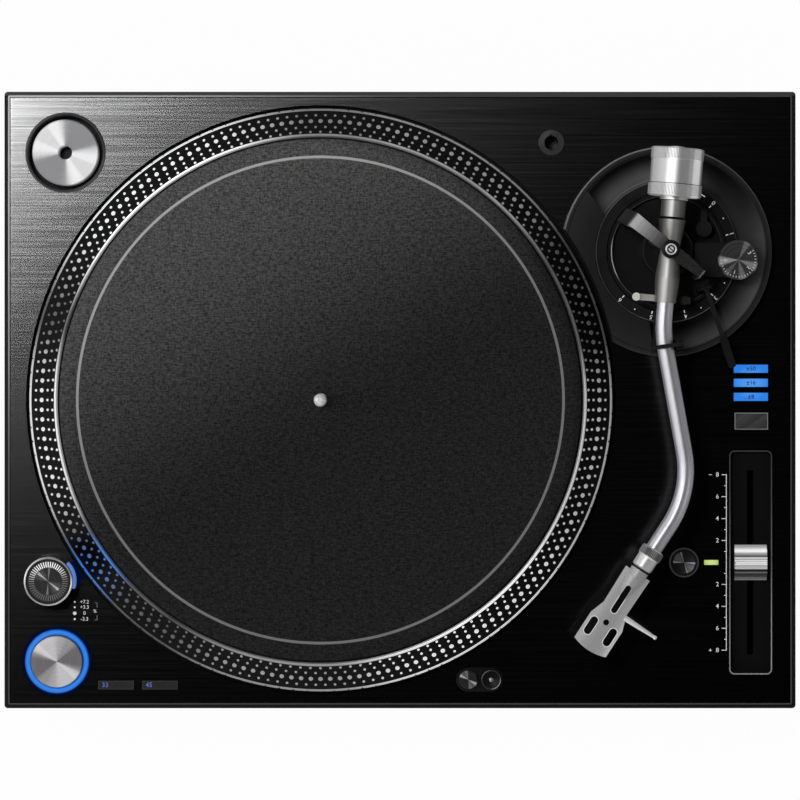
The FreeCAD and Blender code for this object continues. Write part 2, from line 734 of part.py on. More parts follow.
def base_shell():
    """The tray under the chassis, with screw bosses for the feet and a bay for each terminal."""
    outer = rounded_slab((0, 0), (DECK_WIDTH, DECK_DEPTH), CORNER_RADIUS, BASE_BOTTOM, BASE_TOP)
    inner = slab((0, 0), grown((DECK_WIDTH, DECK_DEPTH), -BASE_WALL), BASE_FLOOR_TOP, BASE_TOP)
    shell = outer.cut(inner)
    rear = DECK_DEPTH / 2
    bays = ((PHONO_BAY_X, PHONO_BAY_WIDTH), (MAINS_BAY_X, MAINS_BAY_WIDTH))
    for middle, width in bays:
        wall = block(middle - width / 2 - BAY_WALL, middle + width / 2 + BAY_WALL,
                     bay_back() - BAY_WALL, rear - BASE_WALL / 2, BASE_BOTTOM, BASE_TOP)
        bay = block(middle - width / 2, middle + width / 2, bay_back(), rear + REACH,
                    BASE_BOTTOM - REACH, BASE_TOP + REACH)
        shell = shell.fuse(wall).cut(bay)
    for place in foot_places().values():
        roof = BASE_BOTTOM + FOOT_STEM_LENGTH + FOOT_BOSS_ROOF
        shell = shell.fuse(disc(place, FOOT_STEM_RADIUS + FOOT_BOSS_WALL, BASE_FLOOR_TOP - ROOT, roof))
        bore_top = BASE_BOTTOM + FOOT_STEM_LENGTH + CAP_GAP
        shell = shell.cut(disc(place, FOOT_STEM_RADIUS + RUNNING_GAP, BASE_BOTTOM - REACH, bore_top))
    for place in standoff_places():
        shell = shell.fuse(disc(place, STANDOFF_RADIUS, BASE_FLOOR_TOP - ROOT, BASE_FLOOR_TOP + BOARD_LIFT))
    for place in screw_places():
        shell = shell.cut(disc(place, SCREW_HEAD_RADIUS + FIT_GAP, BASE_BOTTOM - REACH,
                               BASE_BOTTOM + SCREW_HEAD_HEIGHT))
        shell = shell.cut(disc(place, SCREW_SHANK_RADIUS + FIT_GAP, BASE_BOTTOM, BASE_TOP + REACH))
    holes = [wall_hole(x, JACK_BODY_RADIUS + RUNNING_GAP) for x in phono_points()]
    holes.append(wall_hole(PHONO_BAY_X + GROUND_OFFSET, GROUND_SHANK + RUNNING_GAP))
    holes.append(inlet_box(*grown((INLET_BODY_WIDTH, INLET_BODY_HEIGHT), FIT_GAP),
                           bay_back() - BAY_WALL - REACH, bay_back() + REACH))
    return shell.cut(holes).removeSplitter()


def wall_hole(x, radius):
    """The tool for a round hole through a bay's back wall."""
    start = vector(x, bay_back() - BAY_WALL - REACH, terminal_level())
    return rod(start, vector(0, 1, 0), radius, BAY_WALL + 2 * REACH)


def foot(place):
    """A screw foot: the moulded foot with its threaded stem, and the soft sole under it."""
    x, y = place
    body = turned([(0, SOLE_THICKNESS), (SOLE_RADIUS + FOOT_RIM / 2, SOLE_THICKNESS),
                   (FOOT_RADIUS, SOLE_THICKNESS + FOOT_RIM),
                   (FOOT_RADIUS, BASE_BOTTOM - FOOT_RIM), (FOOT_RADIUS - FOOT_RIM, BASE_BOTTOM),
                   (FOOT_STEM_RADIUS, BASE_BOTTOM),
                   (FOOT_STEM_RADIUS, BASE_BOTTOM + FOOT_STEM_LENGTH),
                   (0, BASE_BOTTOM + FOOT_STEM_LENGTH)], (x, y))
    sole = disc((x, y), SOLE_RADIUS, 0, SOLE_THICKNESS)
    return Part.makeCompound([body, sole])


def switch_places():
    """Centre, stem radius and travel of each push button."""
    places = [(START_CENTRE, START_STEM_RADIUS, START_TRAVEL)]
    small = list(SPEED_CENTRES) + [RESET_CENTRE, RANGE_CENTRE, LIGHT_BUTTON_CENTRE]
    return places + [(centre, BUTTON_STEM_RADIUS, BUTTON_TRAVEL) for centre in small]


def panel_openings():
    """The openings that the top panel has, as tools that reach above and below it."""
    low = SKIN_TOP - REACH
    high = DECK_TOP + REACH
    tools = [disc(SPINDLE, WELL_RADIUS, low, high),
             disc(PIVOT, CARRIER_RADIUS + RUNNING_GAP + GUIDE_WALL + FIT_GAP, low, high),
             disc(ADAPTER_CENTRE, ADAPTER_CUP_RADIUS + ADAPTER_CUP_WALL + FIT_GAP, low, high),
             disc(STAND_CENTRE, STAND_BORE + STAND_WALL + FIT_GAP, low, high),
             disc(START_CENTRE, START_RING_OUTER + FIT_GAP, low, high),
             disc(RESET_CENTRE, RESET_RADIUS + CAP_GAP, low, high),
             disc(LIGHT_CENTRE, LIGHT_RADIUS + RUNNING_GAP + SLEEVE_WALL + FIT_GAP, low, high),
             disc(LIGHT_BUTTON_CENTRE, LIGHT_BUTTON_RADIUS + CAP_GAP, low, high),
             disc(TOWER_CENTRE, POWER_STEM_RADIUS + SLEEVE_WALL + FIT_GAP, low, high),
             slab(RANGE_CENTRE, grown(RANGE_SIZE, CAP_GAP), low, high),
             slab(LAMP_CENTRE, grown(LAMP_SIZE, FIT_GAP), low, high),
             rounded_slab(FADER_CENTRE, grown(FADER_TRAY_SIZE, FIT_GAP), FADER_TRAY_CORNER, low, high)]
    tools += [slab(centre, grown(SPEED_SIZE, CAP_GAP), low, high) for centre in SPEED_CENTRES]
    tools += [slab(centre, grown(WINDOW_SIZE, FIT_GAP), low, high) for centre in window_places()]
    return tools


def skin_openings():
    """The openings that go on through the chassis's skin."""
    low = SKIN_BOTTOM - REACH
    high = SKIN_TOP + REACH
    tools = [disc(PIVOT, CARRIER_RADIUS + RUNNING_GAP + GUIDE_WALL + FIT_GAP, low, high),
             disc(ADAPTER_CENTRE, ADAPTER_CUP_RADIUS + ADAPTER_CUP_WALL + FIT_GAP, low, high),
             disc(STAND_CENTRE, STAND_BORE + STAND_WALL + FIT_GAP, low, high),
             disc(LIGHT_CENTRE, LIGHT_RADIUS + RUNNING_GAP + SLEEVE_WALL + FIT_GAP, low, high),
             disc(TOWER_CENTRE, POWER_STEM_RADIUS + SLEEVE_WALL + FIT_GAP, low, high),
             rounded_slab(FADER_CENTRE, grown(FADER_TRAY_SIZE, FIT_GAP), FADER_TRAY_CORNER, low, high)]
    tools += [disc(centre, stem + CAP_GAP, low, high) for centre, stem, travel in switch_places()]
    return tools


def grown(size, gap):
    """A width and a depth with a gap added all round."""
    return (size[0] + 2 * gap, size[1] + 2 * gap)


def window_places():
    """Plan places of the range windows."""
    return [(WINDOW_X, WINDOW_TOP_Y - index * WINDOW_PITCH) for index in range(WINDOW_COUNT)]


def chassis():
    """The cast chassis: side walls, top skin, platter well and the cup for the motor."""
    body = rounded_slab((0, 0), (DECK_WIDTH, DECK_DEPTH), CORNER_RADIUS, BASE_TOP, DECK_TOP)
    body = chamfer_level(body, DECK_TOP, BORDER_BEVEL)
    recess = slab((0, 0), grown((DECK_WIDTH, DECK_DEPTH), -BORDER_WIDTH), SKIN_TOP, DECK_TOP + REACH)
    cavity = slab((0, 0), grown((DECK_WIDTH, DECK_DEPTH), -CHASSIS_WALL), BASE_TOP - REACH, SKIN_BOTTOM)
    well_shell = disc(SPINDLE, WELL_RADIUS + WELL_WALL, WELL_FLOOR - SKIN_THICKNESS, SKIN_BOTTOM + REACH)
    cup_shell = disc(SPINDLE, MOTOR_CUP_RADIUS + MOTOR_CUP_WALL, CUP_FLOOR - MOTOR_CUP_WALL,
                     SKIN_BOTTOM + REACH)
    cavity = cavity.cut([well_shell, cup_shell])
    well = disc(SPINDLE, WELL_RADIUS, WELL_FLOOR, DECK_TOP + REACH)
    cup = disc(SPINDLE, MOTOR_CUP_RADIUS, CUP_FLOOR, WELL_FLOOR + REACH)
    body = body.cut([recess, cavity, well, cup])
    body = body.cut(skin_openings())
    threads = [disc(place, SCREW_SHANK_RADIUS, BASE_TOP - REACH, BASE_TOP + SCREW_BITE)
               for place in screw_places()]
    return body.cut(threads).removeSplitter()


def top_panel():
    """The brushed plate that covers the chassis inside its border."""
    size = grown((DECK_WIDTH, DECK_DEPTH), -BORDER_WIDTH)
    return slab((0, 0), size, SKIN_TOP, DECK_TOP).cut(panel_openings()).removeSplitter()


def case_screws():
    """The screws that hold the base to the chassis."""
    screws = []
    for place in screw_places():
        head = disc(place, SCREW_HEAD_RADIUS, BASE_BOTTOM, BASE_BOTTOM + SCREW_HEAD_HEIGHT)
        shank = disc(place, SCREW_SHANK_RADIUS, BASE_BOTTOM, BASE_TOP + SCREW_BITE)
        screws.append(fused([head, shank]))
    return Part.makeCompound(screws)


def phono_jacks():
    """Two round sockets, each screwed through the bay's back wall."""
    level = terminal_level()
    rear = vector(0, 1, 0)
    jacks = []
    for x in phono_points():
        face = bay_back()
        body = rod(vector(x, face - JACK_BODY_LENGTH, level), rear, JACK_BODY_RADIUS, JACK_BODY_LENGTH)
        flange = rod(vector(x, face, level), rear, JACK_FLANGE_RADIUS, JACK_FLANGE)
        barrel = rod(vector(x, face, level), rear, JACK_RADIUS, JACK_LENGTH)
        bore = rod(vector(x, face, level), rear, JACK_BORE, JACK_LENGTH + REACH)
        jacks.append(fused([body, flange, barrel]).cut(bore))
    return Part.makeCompound(jacks)


def ground_post():
    """The earth terminal: shank and nut."""
    level = terminal_level()
    x = PHONO_BAY_X + GROUND_OFFSET
    rear = vector(0, 1, 0)
    shank = rod(vector(x, bay_back() - BAY_WALL - JACK_FLANGE, level), rear, GROUND_SHANK,
                BAY_WALL + JACK_FLANGE + GROUND_LENGTH)
    nut = rod(vector(x, bay_back(), level), rear, GROUND_NUT_RADIUS, GROUND_NUT_LENGTH)
    return fused([shank, nut])


def mains_inlet():
    """A shrouded inlet with three blades, sunk through the bay's back wall."""
    face = bay_back() + INLET_FLANGE
    depth = INLET_CAVITY_DEPTH + INLET_BACK
    flange = inlet_box(INLET_FLANGE_WIDTH, INLET_FLANGE_HEIGHT, bay_back(), face)
    body = inlet_box(INLET_BODY_WIDTH, INLET_BODY_HEIGHT, face - depth, face)
    cavity = inlet_box(INLET_CAVITY_WIDTH, INLET_CAVITY_HEIGHT, face - INLET_CAVITY_DEPTH, face + REACH)
    shroud = fused([flange, body]).cut(cavity)
    pins = []
    for column, row in ((-1, -1), (0, 1), (1, -1)):
        x = MAINS_BAY_X + column * INLET_PIN_SPACING
        z = terminal_level() + row * INLET_PIN_HEIGHT / 2
        pins.append(block(x - INLET_PIN_WIDTH / 2, x + INLET_PIN_WIDTH / 2,
                          face - INLET_CAVITY_DEPTH - INLET_BACK / 2,
                          face - INLET_CAVITY_DEPTH + INLET_PIN_LENGTH,
                          z - INLET_PIN_HEIGHT / 2, z + INLET_PIN_HEIGHT / 2))
    return shroud.fuse(pins).removeSplitter()


def inlet_box(width, height, y_from, y_to):
    """A box on the inlet's own axis."""
    level = terminal_level()
    return block(MAINS_BAY_X - width / 2, MAINS_BAY_X + width / 2, y_from, y_to,
                 level - height / 2, level + height / 2)


def power_transformer():
    """A laminated core with a winding through its two windows."""
    x, y = TRANSFORMER_CENTRE
    half_x = TRANSFORMER_SIZE[0] / 2
    half_y = TRANSFORMER_SIZE[1] / 2
    stack = half_y - CORE_LIMB
    core = block(x - half_x, x + half_x, y - stack, y + stack, BASE_FLOOR_TOP, BASE_FLOOR_TOP + CORE_HEIGHT)
    low = BASE_FLOOR_TOP + (CORE_HEIGHT - WINDING_HEIGHT) / 2
    high = low + WINDING_HEIGHT
    windows = [block(x + CORE_LIMB / 2, x + half_x - CORE_LIMB, y - half_y, y + half_y, low, high),
               block(x - half_x + CORE_LIMB, x - CORE_LIMB / 2, y - half_y, y + half_y, low, high)]
    core = core.cut(windows)
    coil = block(x - half_x + CORE_LIMB + FIT_GAP, x + half_x - CORE_LIMB - FIT_GAP,
                 y - half_y, y + half_y, low + FIT_GAP, high - FIT_GAP)
    limb = slab(TRANSFORMER_CENTRE, grown((CORE_LIMB, 2 * stack), FIT_GAP), low, high)
    return Part.makeCompound([core, coil.cut(limb)])


def control_board():
    """The circuit board on its standoffs, with the largest components."""
    x, y = BOARD_CENTRE
    low = BASE_FLOOR_TOP + BOARD_LIFT
    top = low + BOARD_THICKNESS
    pieces = [slab(BOARD_CENTRE, BOARD_SIZE, low, top)]
    for (dx, dy), size, height in zip(BOARD_CHIP_PLACES, BOARD_CHIP_SIZES, BOARD_CHIP_HEIGHTS):
        pieces.append(slab((x + dx, y + dy), size, top, top + height))
    for dx, dy in BOARD_CANS:
        pieces.append(disc((x + dx, y + dy), BOARD_CAN_RADIUS, top, top + BOARD_CAN_HEIGHT))
    return fused(pieces)


def button_switches():
    """A switch block under each button's stem, fixed to the underside of the skin."""
    blocks = []
    for centre, stem, travel in switch_places():
        body = slab(centre, (SWITCH_SIZE, SWITCH_SIZE), SKIN_BOTTOM - SWITCH_HEIGHT, SKIN_BOTTOM)
        well = disc(centre, stem + RUNNING_GAP, stem_bottom(travel) - travel - CAP_GAP, SKIN_BOTTOM + REACH)
        blocks.append(body.cut(well))
    return Part.makeCompound(blocks)


def cap_bottom(travel):
    """Lowest level of a button's cap at rest, so that it can travel down to the skin."""
    return SKIN_TOP + travel + CAP_SLACK


def stem_bottom(travel):
    """Height of the foot of a button's stem."""
    return cap_bottom(travel) - BUTTON_STEM_LENGTH


def stem(centre, radius, travel):
    """The stem under a button's cap, down to its switch."""
    return disc(centre, radius, stem_bottom(travel), cap_bottom(travel) + ROOT)


def start_ring():
    """The light ring around the start/stop button."""
    top = SKIN_TOP + START_RING_HEIGHT
    body = ring(START_CENTRE, START_RING_OUTER, START_RADIUS + CAP_GAP, SKIN_TOP, top)
    return chamfer_level(body, top, SOFT_EDGE)


def start_button():
    """The round start button: chamfered cap and stem."""
    low = cap_bottom(START_TRAVEL)
    cap = disc(START_CENTRE, START_RADIUS, low, low + START_CAP_HEIGHT)
    cap = chamfer_level(cap, low + START_CAP_HEIGHT, SOFT_EDGE)
    return fused([cap, stem(START_CENTRE, START_STEM_RADIUS, START_TRAVEL)])


def bar_button(centre, size, height):
    """A low rectangular button."""
    low = cap_bottom(BUTTON_TRAVEL)
    cap = chamfer_level(slab(centre, size, low, low + height), low + height, SOFT_EDGE)
    return fused([cap, stem(centre, BUTTON_STEM_RADIUS, BUTTON_TRAVEL)])


def round_button(centre, radius, height, dish_radius):
    """A low round button with a dished face."""
    low = cap_bottom(BUTTON_TRAVEL)
    top = low + height
    cap = turned([(0, low), (radius, low), (radius, top - SOFT_EDGE), (radius - SOFT_EDGE, top),
                  (dish_radius, top), (0, top - BUTTON_DISH)], centre)
    return fused([cap, stem(centre, BUTTON_STEM_RADIUS, BUTTON_TRAVEL)])


def platter():
    """The cast platter: smooth sloping rim for the strobe dots, web, hub and magnet seat."""
    side_top = PLATTER_BOTTOM + RIM_SIDE
    band_low = side_top + OUTER_RING_WIDTH
    band_high = band_low + DOT_BAND_RISE
    rim_inner = PLATTER_RADIUS - RIM_WALL
    profile = [(SPINDLE_SHAFT_RADIUS, MAT_SEAT), (SPINDLE_SHAFT_RADIUS, WEB_BOTTOM - WEB_THICKNESS),
               (HUB_RADIUS, WEB_BOTTOM - WEB_THICKNESS), (HUB_RADIUS, WEB_BOTTOM),
               (MAGNET_INNER, WEB_BOTTOM), (MAGNET_INNER, MAGNET_TOP),
               (MAGNET_OUTER, MAGNET_TOP), (MAGNET_OUTER, WEB_BOTTOM),
               (rim_inner - WEB_THICKNESS, WEB_BOTTOM), (rim_inner, WEB_BOTTOM - WEB_THICKNESS),
               (rim_inner, PLATTER_BOTTOM), (PLATTER_RADIUS, PLATTER_BOTTOM),
               (PLATTER_RADIUS, side_top), (DOT_BAND_OUTER, band_low),
               (DOT_BAND_INNER, band_high), (DOT_BAND_INNER, RIM_TOP),
               (MAT_RECESS_RADIUS, RIM_TOP), (MAT_RECESS_RADIUS, MAT_SEAT)]
    return turned(profile, SPINDLE)


def spindle():
    """The shaft in its bearing, and above the platter the pin that centres a record."""
    top = MAT_SEAT + SPINDLE_EXPOSED
    neck_top = MAT_SEAT + MAT_THICKNESS + SPINDLE_NECK_PROUD
    return turned([(0, SPINDLE_BOTTOM), (SPINDLE_SHAFT_RADIUS, SPINDLE_BOTTOM),
                   (SPINDLE_SHAFT_RADIUS, MAT_SEAT), (SPINDLE_NECK_RADIUS, MAT_SEAT),
                   (SPINDLE_NECK_RADIUS, neck_top), (SPINDLE_RADIUS, neck_top),
                   (SPINDLE_RADIUS, top - SPINDLE_TIP), (0.8 * SPINDLE_RADIUS, top - SPINDLE_TIP / 3),
                   (0.4 * SPINDLE_RADIUS, top), (0, top)], SPINDLE)


def rotor_magnet():
    """The magnet ring under the platter, round the stator."""
    return ring(SPINDLE, MAGNET_OUTER, MAGNET_INNER, MAGNET_TOP - MAGNET_HEIGHT, MAGNET_TOP)


def spindle_bearing():
    """The bush that the spindle turns in, closed below by its thrust plate."""
    return turned([(0, CUP_FLOOR), (BEARING_FLANGE_RADIUS, CUP_FLOOR),
                   (BEARING_FLANGE_RADIUS, CUP_FLOOR + BEARING_FLANGE),
                   (BEARING_RADIUS, CUP_FLOOR + BEARING_FLANGE), (BEARING_RADIUS, BEARING_TOP),
                   (SPINDLE_SHAFT_RADIUS + RUNNING_GAP, BEARING_TOP),
                   (SPINDLE_SHAFT_RADIUS + RUNNING_GAP, SPINDLE_BOTTOM), (0, SPINDLE_BOTTOM)], SPINDLE)


def motor_stator():
    """A star of poles round the bearing, each with its coil."""
    low = CUP_FLOOR + STATOR_LIFT
    high = low + STATOR_CORE_HEIGHT
    hub_outer = BEARING_RADIUS + STATOR_HUB_WALL
    hub = ring(SPINDLE, hub_outer, BEARING_RADIUS, CUP_FLOOR + BEARING_FLANGE, high)
    limit = ring(SPINDLE, STATOR_RADIUS, BEARING_RADIUS, low, high)
    poles = []
    coils = []
    for index in range(STATOR_POLES):
        heading = 360.0 * index / STATOR_POLES
        pole = stator_bar(hub_outer - ROOT, STATOR_RADIUS + REACH, POLE_WIDTH, low, high)
        shoe = stator_bar(STATOR_RADIUS - POLE_SHOE, STATOR_RADIUS + REACH, POLE_SHOE_WIDTH, low, high)
        poles.append(turn_and_move(fused([pole, shoe]), heading, vector(SPINDLE_X, SPINDLE_Y, 0)))
        coil_end = STATOR_RADIUS - POLE_SHOE - FIT_GAP
        middle = (low + high) / 2
        coil = stator_bar(coil_end - COIL_LENGTH, coil_end, COIL_WIDTH,
                          middle - COIL_HEIGHT / 2, middle + COIL_HEIGHT / 2)
        coil = coil.cut(stator_bar(hub_outer - ROOT, STATOR_RADIUS, POLE_WIDTH, low, high))
        coils.append(turn_and_move(coil, heading, vector(SPINDLE_X, SPINDLE_Y, 0)))
    core = hub.fuse([pole.common(limit) for pole in poles]).removeSplitter()
    return Part.makeCompound([core] + coils)


def stator_bar(radius_from, radius_to, width, z_from, z_to):
    """A bar along a radius of the stator, before it is turned to its pole."""
    return block(radius_from, radius_to, -width / 2, width / 2, z_from, z_to)


def slipmat():
    """The thin mat that lies loose in the platter's recess."""
    return ring(SPINDLE, MAT_RECESS_RADIUS - MAT_GAP, SPINDLE_RADIUS + MAT_HOLE_GAP,
                MAT_SEAT, MAT_SEAT + MAT_THICKNESS)


def adapter_well():
    """The round cup for the adapter, with a thin flange on the panel."""
    floor = DECK_TOP - ADAPTER_CUP_DEPTH
    outer = ADAPTER_CUP_RADIUS + ADAPTER_CUP_WALL
    flange_top = DECK_TOP + ADAPTER_FLANGE
    return turned([(0, floor - ADAPTER_CUP_FLOOR), (outer, floor - ADAPTER_CUP_FLOOR), (outer, DECK_TOP),
                   (ADAPTER_FLANGE_RADIUS, DECK_TOP), (ADAPTER_FLANGE_RADIUS - FINE_EDGE, flange_top),
                   (ADAPTER_CUP_RADIUS + SOFT_EDGE, flange_top), (ADAPTER_CUP_RADIUS, flange_top - SOFT_EDGE),
                   (ADAPTER_CUP_RADIUS, floor), (0, floor)], ADAPTER_CENTRE)


def single_adapter():
    """The loose disc that fills the large hole of a 45 rpm record."""
    low = DECK_TOP - ADAPTER_CUP_DEPTH
    high = low + ADAPTER_HEIGHT
    return turned([(ADAPTER_BORE, low), (ADAPTER_RADIUS, low), (ADAPTER_RADIUS, high - FINE_EDGE),
                   (ADAPTER_RADIUS - FINE_EDGE, high), (ADAPTER_BORE + SOFT_EDGE, high),
                   (ADAPTER_BORE, high - SOFT_EDGE)], ADAPTER_CENTRE)


def headshell_stand():
    """The closed bush for a spare headshell, with two key slots in its flange."""
    top = DECK_TOP + STAND_FLANGE
    floor = DECK_TOP - STAND_DEPTH
    bush = turned([(0, floor - STAND_FLOOR), (STAND_BORE + STAND_WALL, floor - STAND_FLOOR),
                   (STAND_BORE + STAND_WALL, DECK_TOP), (STAND_FLANGE_RADIUS, DECK_TOP),
                   (STAND_FLANGE_RADIUS, top), (STAND_BORE, top), (STAND_BORE, floor), (0, floor)],
                  STAND_CENTRE)
    key_length = 2 * STAND_BORE + STAND_WALL
    key = slab(STAND_CENTRE, (STAND_KEY_WIDTH, key_length), top - STAND_KEY_DEPTH, top + REACH)
    return bush.cut(key)


def strobe_housing():
    """The lamp tower, with the knob's bush through the panel and a seat for the lens."""
    body = disc(TOWER_CENTRE, TOWER_RADIUS, DECK_TOP, TOWER_TOP)
    bush = disc(TOWER_CENTRE, POWER_STEM_RADIUS + SLEEVE_WALL, SKIN_BOTTOM, DECK_TOP + ROOT)
    stem_hole = disc(TOWER_CENTRE, POWER_STEM_RADIUS + RUNNING_GAP,
                     TOWER_TOP - POWER_STEM_LENGTH - CAP_GAP, TOWER_TOP + REACH)
    return fused([body, bush]).cut(stem_hole)


def strobe_lens():
    """A blue window, bent round the side of the tower that faces the platter."""
    wedge = lens_wedge(2 * LENS_RADIUS, DECK_TOP - REACH, TOWER_TOP)
    band = ring(TOWER_CENTRE, LENS_RADIUS, TOWER_RADIUS, DECK_TOP, DECK_TOP + LENS_HEIGHT)
    return band.common(wedge)


def lens_wedge(reach, z_from, z_to):
    """The sector of the light tower that holds the lens."""
    x, y = TOWER_CENTRE
    points = [TOWER_CENTRE]
    for heading in (LENS_FROM, LENS_TO):
        angle = math.radians(heading)
        points.append((x + reach * math.cos(angle), y + reach * math.sin(angle)))
    return plate(points, z_from, z_to)


def power_knob():
    """The on/off knob on the tower, with its dished face and its stalk."""
    low = TOWER_TOP + CAP_GAP
    top = low + POWER_KNOB_HEIGHT
    face = POWER_KNOB_RADIUS - POWER_KNOB_RIM
    knob = turned([(0, low), (POWER_KNOB_RADIUS, low), (POWER_KNOB_RADIUS, top - SOFT_EDGE),
                   (POWER_KNOB_RADIUS - SOFT_EDGE, top), (face, top),
                   (face - SOFT_EDGE, top - POWER_KNOB_DISH), (0, top - POWER_KNOB_DISH)], TOWER_CENTRE)
    stalk = disc(TOWER_CENTRE, POWER_STEM_RADIUS, TOWER_TOP - POWER_STEM_LENGTH, low + ROOT)
    return fused([knob, stalk])


def lamp_bezel():
    """The bezel of the stylus light, with the sleeve that guides the post."""
    middle = (LIGHT_CENTRE[0] + LIGHT_BUTTON_SPACING / 2, LIGHT_CENTRE[1])
    top = DECK_TOP + BEZEL_RISE
    flange = chamfer_level(stadium(middle, BEZEL_LENGTH, BEZEL_WIDTH, DECK_TOP, top), top, SOFT_EDGE)
    bore = LIGHT_RADIUS + RUNNING_GAP
    sleeve = disc(LIGHT_CENTRE, bore + SLEEVE_WALL, DECK_TOP - SLEEVE_LENGTH, DECK_TOP + ROOT)
    holes = [disc(LIGHT_CENTRE, bore, DECK_TOP - SLEEVE_LENGTH - REACH, top + REACH),
             disc(LIGHT_BUTTON_CENTRE, LIGHT_BUTTON_RADIUS + CAP_GAP, DECK_TOP - REACH, top + REACH)]
    return fused([flange, sleeve]).cut(holes)


def target_light():
    """The post with the lamp window near its top, facing the platter."""
    top = DECK_TOP + LIGHT_PROUD
    post = disc(LIGHT_CENTRE, LIGHT_RADIUS, top - LIGHT_LENGTH, top)
    post = chamfer_level(post, top, SOFT_EDGE)
    notch = slab((LIGHT_CENTRE[0], LIGHT_CENTRE[1] + LIGHT_RADIUS),
                 (LIGHT_WINDOW_WIDTH, 2 * LIGHT_WINDOW_DEPTH),
                 top - LIGHT_WINDOW_DROP - LIGHT_WINDOW_HEIGHT, top - LIGHT_WINDOW_DROP)
    return post.cut(notch)


def fader_panel():
    """The sunk tray of the tempo fader, with the slot for its knob."""
    outer = rounded_slab(FADER_CENTRE, FADER_TRAY_SIZE, FADER_TRAY_CORNER,
                         TRAY_BOTTOM, DECK_TOP + FADER_TRAY_LIP)
    inner = rounded_slab(FADER_CENTRE, grown(FADER_TRAY_SIZE, -FADER_TRAY_WALL),
                         FADER_TRAY_CORNER - FADER_TRAY_WALL, TRAY_FLOOR_TOP, DECK_TOP + REACH)
    return outer.cut([inner, fader_slot(TRAY_BOTTOM - REACH, TRAY_FLOOR_TOP + REACH)])


def fader_slot(z_from, z_to):
    """The tool for the slot that the fader's stem travels in."""
    length = 2 * FADER_TRAVEL + FADER_STEM_LENGTH + 2 * CAP_SLACK
    return slab(FADER_CENTRE, (FADER_SLOT_WIDTH, length), z_from, z_to)


def fader_track():
    """The slide potentiometer's case under the tray: a channel that the shoe runs in."""
    low = TRAY_BOTTOM - FADER_TRACK_HEIGHT
    length = 2 * FADER_TRAVEL + FADER_SHOE_SIZE[1] + 2 * CAP_SLACK
    case = slab(FADER_CENTRE, (FADER_TRACK_WIDTH, length + 2 * FADER_TRACK_WALL), low, TRAY_BOTTOM)
    channel = slab(FADER_CENTRE, (FADER_SHOE_SIZE[0] + 2 * CAP_GAP, length),
                   low + FADER_TRACK_WALL, TRAY_BOTTOM - FADER_TRACK_WALL)
    slot = fader_slot(TRAY_BOTTOM - FADER_TRACK_WALL - REACH, TRAY_BOTTOM + REACH)
    return case.cut([channel, slot])


def tempo_knob():
    """The fader's knob with its stem and the shoe that runs in the channel."""
    low = TRAY_FLOOR_TOP + FADER_KNOB_LIFT
    top = low + FADER_KNOB_HEIGHT
    half = FADER_KNOB_SIZE[1] / 2
    side = [vector(0, -half, low), vector(0, half, low), vector(0, half, low + FADER_KNOB_BEVEL),
            vector(0, half - FADER_KNOB_BEVEL, top), vector(0, -half + FADER_KNOB_BEVEL, top),
            vector(0, -half, low + FADER_KNOB_BEVEL)]
    cap = Part.Face(Part.makePolygon(side + side[:1])).extrude(vector(FADER_KNOB_SIZE[0], 0, 0))
    cap.translate(vector(FADER_CENTRE[0] - FADER_KNOB_SIZE[0] / 2, FADER_CENTRE[1], 0))
    shoe_low = TRAY_BOTTOM - FADER_TRACK_HEIGHT + FADER_TRACK_WALL + CAP_GAP
    shoe = slab(FADER_CENTRE, FADER_SHOE_SIZE, shoe_low, shoe_low + FADER_SHOE_HEIGHT)
    blade = slab(FADER_CENTRE, (FADER_STEM_WIDTH, FADER_STEM_LENGTH), shoe_low + ROOT, low + ROOT)
    return fused([cap, shoe, blade])


def centre_led():
    """The light that shows the fader's middle."""
    return slab(LAMP_CENTRE, LAMP_SIZE, SKIN_TOP, DECK_TOP + LAMP_PROUD)


def range_windows():
    """The three lit windows of the tempo range."""
    return Part.makeCompound([slab(centre, WINDOW_SIZE, SKIN_TOP, DECK_TOP + LAMP_PROUD)
                              for centre in window_places()])


def tonearm_base():
    """The dished base with its raised rim, its flat beside the platter and the carrier's guide."""
    rim_top = DECK_TOP + ARM_BASE_HEIGHT
    guide = CARRIER_RADIUS + RUNNING_GAP
    rim_inner = ARM_BASE_RADIUS - ARM_BASE_RIM
    seat_wall = HEIGHT_RING_OUTER + CAP_GAP
    dish_top = DECK_TOP + ARM_BASE_DISH
    dish = turned([(guide, DECK_TOP - GUIDE_DEPTH), (guide + GUIDE_WALL, DECK_TOP - GUIDE_DEPTH),
                   (guide + GUIDE_WALL, DECK_TOP), (ARM_BASE_RADIUS, DECK_TOP),
                   (ARM_BASE_RADIUS, rim_top - FINE_EDGE), (ARM_BASE_RADIUS - FINE_EDGE, rim_top),
                   (rim_inner, rim_top), (rim_inner - FINE_EDGE, rim_top - FINE_EDGE),
                   (seat_wall + ARM_BASE_LEDGE, dish_top), (seat_wall, dish_top),
                   (seat_wall, RING_SEAT), (guide, RING_SEAT)], PIVOT)
    flat = ring(PIVOT, rim_inner + ROOT, seat_wall, DECK_TOP + ROOT, rim_top - PLATEAU_DROP)
    dish = dish.fuse(flat.common(plateau_wedge(rim_top))).removeSplitter()
    clear = disc(SPINDLE, ARM_BASE_CLEAR_RADIUS, DECK_TOP - ROOT, rim_top + REACH)
    return dish.cut(clear)


def plateau_wedge(top):
    """The part of the plan beside the platter, between the flat's two end lines."""
    points = [stretched(PLATEAU_LINE_REAR, PLATEAU_INSIDE), stretched(PLATEAU_LINE_REAR, PLATEAU_OUTSIDE)]
    points += list(PLATEAU_CORNERS)
    points += [stretched(PLATEAU_LINE_FRONT, PLATEAU_OUTSIDE), stretched(PLATEAU_LINE_FRONT, PLATEAU_INSIDE)]
    return plate([from_pivot(point) for point in points], DECK_TOP, top + REACH)


